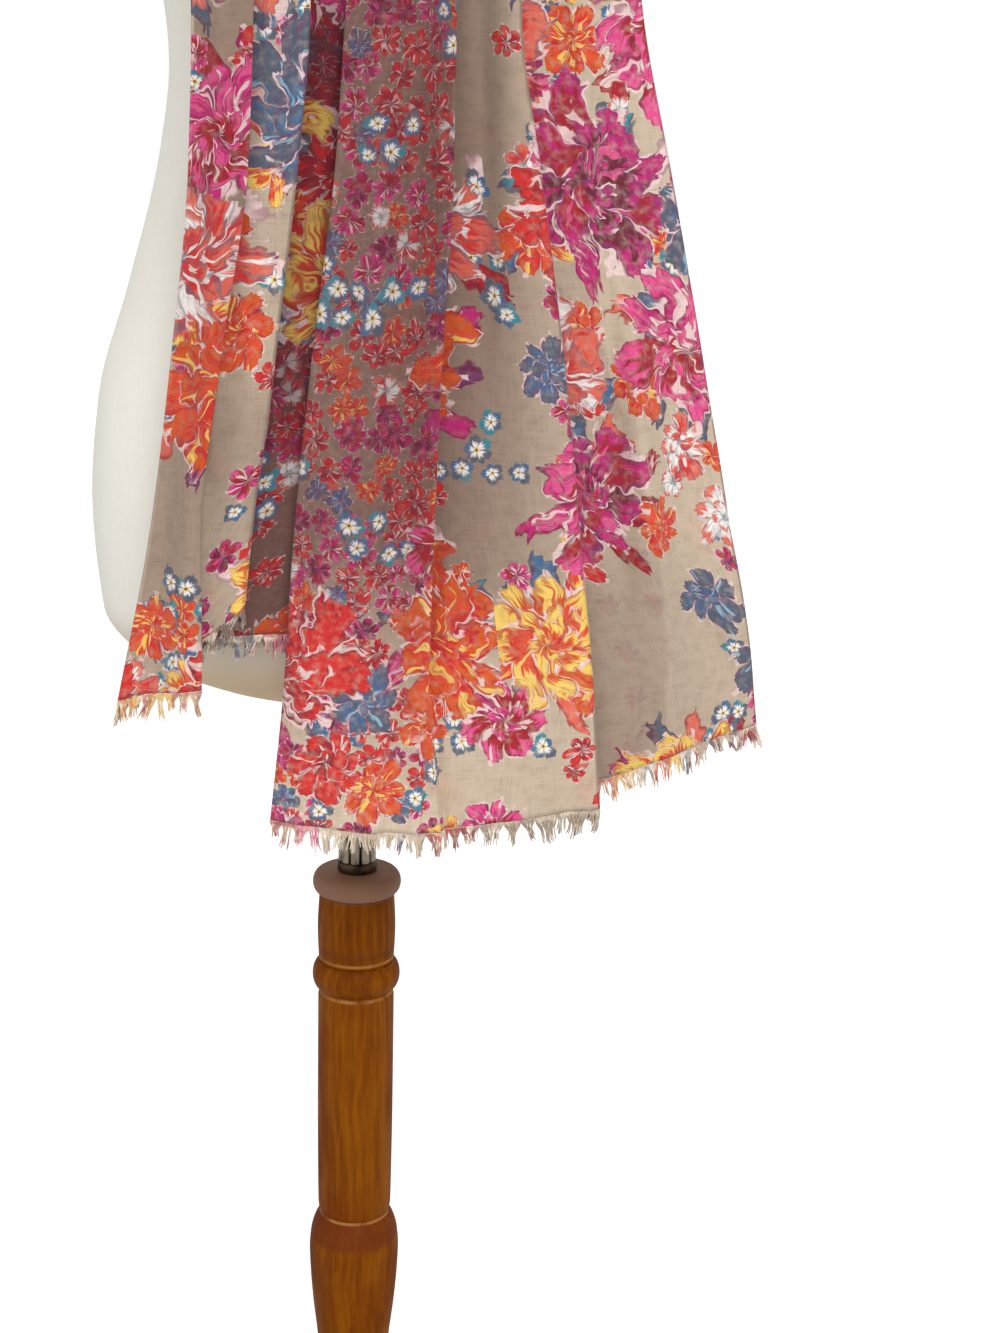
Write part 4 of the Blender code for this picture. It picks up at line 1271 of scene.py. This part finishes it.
def lay_print(mesh, flat, ground, garden):
    """Gives a mesh its flat cut and its print's tiles as UV maps, and the ground's tone with its painted
    shade.
    """
    of_corner = np.zeros(len(mesh.loops), int)
    mesh.loops.foreach_get("vertex_index", of_corner)
    corners = np.array(flat)[of_corner.reshape(-1, 4)]
    maps = [("cloth", corners)]
    maps += [(bed.name, tiles_for(garden[bed.name], corners)) for bed in BEDS]
    for name, values in maps:
        mesh.uv_layers.new(name=name).uv.foreach_set("vector", values.ravel())
    shade = mesh.color_attributes.new(name="ground", type="FLOAT_COLOR", domain="POINT")
    shade.data.foreach_set("color", np.array(ground).ravel())


def build_stretch(stretch, cloth, garden):
    """One stretch of the scarf as a thin shell, with its flat cut as its UV map."""
    right = stretch.start + stretch.end > LEFT_SEAM + RIGHT_SEAM
    rows, flat, ground = [], [], []
    for n in range(stretch.rows + 1):
        along = stretch.start + (stretch.end - stretch.start) * n / stretch.rows
        spots, section = cloth_line(along, stretch.parts)
        for run, spot in zip(cut_runs(spots, right), spots):
            flat.append((run, spot.cut))
            _, posies, pale = spread_at(spot.key, spot.point.z, right)
            double = 0.0
            if right and int(spot.key) == FLAP:
                single = ease((spot.across - section.keys[LAYERS]) / SINGLE_EDGE)
                double = 1.0 - single
                # Painted light through the sheer flap: paler where single, darker where double.
                pale += SINGLE_LIGHT_THROUGH * (single - 0.5)
            ground.append((pale, posies, double, 1.0))
        rows.append([spot.point for spot in spots])
    piece = place(grid(rows), stretch.name, cloth, "printed_cloth", stretch.node, smooth_below=89)
    lay_print(piece.data, flat, ground, garden)
    wall = piece.modifiers.new("thickness", "SOLIDIFY")
    wall.thickness = CLOTH
    wall.offset = 0.0
    wall.use_even_offset = True
    return piece


def build_fringe(name, node, along, inward, yarn, garden):
    """Loose threads in clumps under a hem, each a fine tapered yarn."""
    chance = random.Random(FRINGE_SEED)
    roots, ground = [], []
    right = inward < 0
    spots = cloth_line(along, HEM_PARTS)[0]
    line = [spot.point for spot in spots]
    keys = [spot.key for spot in spots]
    flat = [(run, spot.cut) for run, spot in zip(cut_runs(spots, right), spots)]
    above = [spot.point for spot in cloth_line(along + inward, HEM_PARTS)[0]]
    reached = np.concatenate([[0.0], np.cumsum([(b - a).length for a, b in zip(line, line[1:])])])
    down = np.array([(low - high).normalized() for low, high in zip(line, above)])
    line = np.array(line)

    def on_hem(run):
        place_on = [np.interp(run, reached, line[:, axis]) for axis in range(3)]
        way = [np.interp(run, reached, down[:, axis]) for axis in range(3)]
        return Vector(place_on), Vector(way).normalized()

    curve = bpy.data.curves.new(name, "CURVE")
    curve.dimensions = "3D"
    curve.bevel_depth = THREAD_RADIUS
    curve.bevel_resolution = 0
    curve.use_fill_caps = True
    clumps = [0.0]
    while clumps[-1] < reached[-1]:
        clumps.append(clumps[-1] + FRINGE_CLUMP * chance.uniform(FRINGE_NARROWEST, FRINGE_WIDEST))
    for start_run, end_run in zip(clumps, clumps[1:-1]):
        width = end_run - start_run
        middle_run = start_run + width / 2
        threads = max(FRINGE_FEWEST, round(FRINGE_THREADS * width / FRINGE_CLUMP))
        gathered = chance.uniform(*FRINGE_GATHER)
        _, way = on_hem(middle_run)
        length = chance.uniform(FRINGE_SHORTEST, FRINGE_LONGEST)
        lean = Vector((*(chance.uniform(-most, most) for most in FRINGE_LEAN), 0.0))
        for thread in range(threads):
            offset = (thread / (threads - 1) - 0.5) * width
            root, _ = on_hem(min(reached[-1], max(0.0, middle_run + offset)))
            roots.append([np.interp(middle_run + offset, reached, column) for column in zip(*flat)])
            _, posies, pale = spread_at(np.interp(middle_run, reached, keys), root.z, right)
            ground.append((pale, posies, 0.0, 1.0))
            gather, _ = on_hem(min(reached[-1], max(0.0, middle_run + gathered * offset)))
            own = length * chance.uniform(FRINGE_SHORTER, 1.0)
            loose = Vector((chance.gauss(0, 1), chance.gauss(0, 1), 0.0)) * FRINGE_STRAY
            spline = curve.splines.new("POLY")
            spline.points.add(len(THREAD_POINTS) - 1)
            for point, share in zip(spline.points, THREAD_POINTS):
                start = root.lerp(gather, ease(share * GATHER_PACE))
                co = start + (way + lean * share) * own * share + loose * share * FRINGE_FLARE
                co -= Vector((0.0, 0.0, HEM_GAP))
                point.co = (*co, 1.0)
                point.radius = 1.0 - THREAD_TAPER * share
    strands = bpy.data.objects.new(name + "_curve", curve)
    bpy.context.scene.collection.objects.link(strands)
    shape = strands.evaluated_get(bpy.context.evaluated_depsgraph_get())
    bm = bmesh.new()
    bm.from_mesh(bpy.data.meshes.new_from_object(shape))
    bpy.data.objects.remove(strands)
    thread_verts = len(bm.verts) // len(roots)
    piece = place(bm, name, yarn, "fringe_yarn", node, smooth_below=80)
    lay_print(piece.data, np.repeat(roots, thread_verts, axis=0),
              np.repeat(ground, thread_verts, axis=0), garden)
    return piece


def build_scarf(cloth, yarn):
    """The scarf's three stretches and its two fringes."""
    garden = {bed.name: sow(bed) for bed in BEDS}
    ends = {
        "scarf_left_end": build_fringe(
            "loose_threads_left", "fringe_left", ALONG[0], HEM_STEP, yarn, garden),
        "scarf_right_end": build_fringe(
            "loose_threads_right", "fringe_right", ALONG[-1], -HEM_STEP, yarn, garden),
    }
    for stretch in STRETCHES:
        piece = build_stretch(stretch, cloth, garden)


# ---------------------------------------------------------------- the studio

CAMERA_PLACE = Vector((0.0, -1.25, 1.01))
CAMERA_PITCH = math.radians(14.3)       # looking down
CAMERA_YAW = math.radians(4.17)         # turned towards +X
CAMERA_ROLL = math.radians(1.5)
CAMERA_LENS = 54.0
CAMERA_FRAME = 36.0                     # the long side, in millimetres as the lens
CAMERA_CLIP = (0.05, 200.0)
SKY_LIGHT = 0.42            # what lights the object; the sky itself is seen as white
FLOOR_RADIUS = 40.0
FLOOR_SIDES = 64
FLOOR_GLOW = 0.42           # lifts the floor to the sky's white, as the camera sees it

# Lamps far away: where each stands, its strength and how many degrees wide it looks.
Lamp = namedtuple("Lamp", "name towards strength width")
LAMPS = (
    Lamp("key", (0.25, -0.88, 0.78), 2.10, 30),
    Lamp("fill", (-0.8, -0.6, 0.6), 0.60, 70),
    Lamp("back", (0.2, 0.9, 0.7), 0.70, 70),
)


def build_camera():
    """The photograph's viewpoint."""
    forward = Vector((
        math.sin(CAMERA_YAW) * math.cos(CAMERA_PITCH),
        math.cos(CAMERA_YAW) * math.cos(CAMERA_PITCH),
        -math.sin(CAMERA_PITCH),
    ))
    level = Vector((math.cos(CAMERA_YAW), -math.sin(CAMERA_YAW), 0.0))
    upright = level.cross(forward)
    side = level * math.cos(CAMERA_ROLL) + upright * math.sin(CAMERA_ROLL)
    up = upright * math.cos(CAMERA_ROLL) - level * math.sin(CAMERA_ROLL)
    data = bpy.data.cameras.new("camera")
    data.lens = CAMERA_LENS
    data.sensor_width = CAMERA_FRAME
    data.clip_start, data.clip_end = CAMERA_CLIP
    camera = bpy.data.objects.new("camera", data)
    turned = Matrix((side, up, -forward)).transposed().to_4x4()
    camera.matrix_world = Matrix.Translation(CAMERA_PLACE) @ turned
    bpy.context.scene.collection.objects.link(camera)
    bpy.context.scene.camera = camera


def soft_sun(lamp):
    """One large soft lamp."""
    data = bpy.data.lights.new(lamp.name, "SUN")
    data.energy = lamp.strength
    data.angle = math.radians(lamp.width)
    sun = bpy.data.objects.new(lamp.name, data)
    sun.rotation_euler = Vector(lamp.towards).to_track_quat("Z", "Y").to_euler()
    bpy.context.scene.collection.objects.link(sun)


def build_studio():
    """A pale floor under soft, even light."""
    bm = bmesh.new()
    bmesh.ops.create_circle(bm, cap_ends=True, segments=FLOOR_SIDES, radius=FLOOR_RADIUS)
    mesh = bpy.data.meshes.new("floor")
    bm.to_mesh(mesh)
    bm.free()
    floor = bpy.data.objects.new("floor", mesh)
    bpy.context.scene.collection.objects.link(floor)
    material, tree, shader = new_finish("pale_floor", 0.9, Specular_IOR_Level=0.1,
                                        Emission_Color=(1.0, 1.0, 1.0, 1.0))
    point = add(tree, "ShaderNodeTexCoord").outputs["Object"]
    tone = blend(tree, cloudy(tree, point, 2.0, 2.0), paint(222, 222, 222), paint(226, 226, 226))
    tree.links.new(tone, shader.inputs["Base Color"])
    seen = add(tree, "ShaderNodeLightPath").outputs["Is Camera Ray"]
    tree.links.new(calc(tree, "MULTIPLY", seen, FLOOR_GLOW), shader.inputs["Emission Strength"])
    mesh.materials.append(material)

    world = bpy.data.worlds.new("studio")
    world.use_nodes = True
    tree = world.node_tree
    sky = tree.nodes["Background"]
    sky.inputs["Color"].default_value = (1.0, 1.0, 1.0, 1.0)
    seen = add(tree, "ShaderNodeLightPath").outputs["Is Camera Ray"]
    tree.links.new(calc(tree, "MULTIPLY_ADD", seen, 1.0 - SKY_LIGHT, SKY_LIGHT), sky.inputs["Strength"])
    bpy.context.scene.world = world
    bpy.context.scene.view_settings.view_transform = "Standard"
    for lamp in LAMPS:
        soft_sun(lamp)


def main():
    """Builds the scene."""
    build_camera()
    linen, cloth, yarn = cream_linen(), printed_cloth(), fringe_yarn()
    wood, plank = stained_wood("stained_wood"), stained_wood("stained_plank", lying=True)
    metal = metal_finish("aged_metal", paint(158, 147, 130), paint(104, 93, 78), 0.42)
    dark = metal_finish("dark_metal", paint(92, 74, 60), paint(48, 38, 32), 0.5)
    build_form(linen, plank)
    build_stand(wood, plank, metal, dark)
    build_scarf(cloth, yarn)
    build_studio()


main()
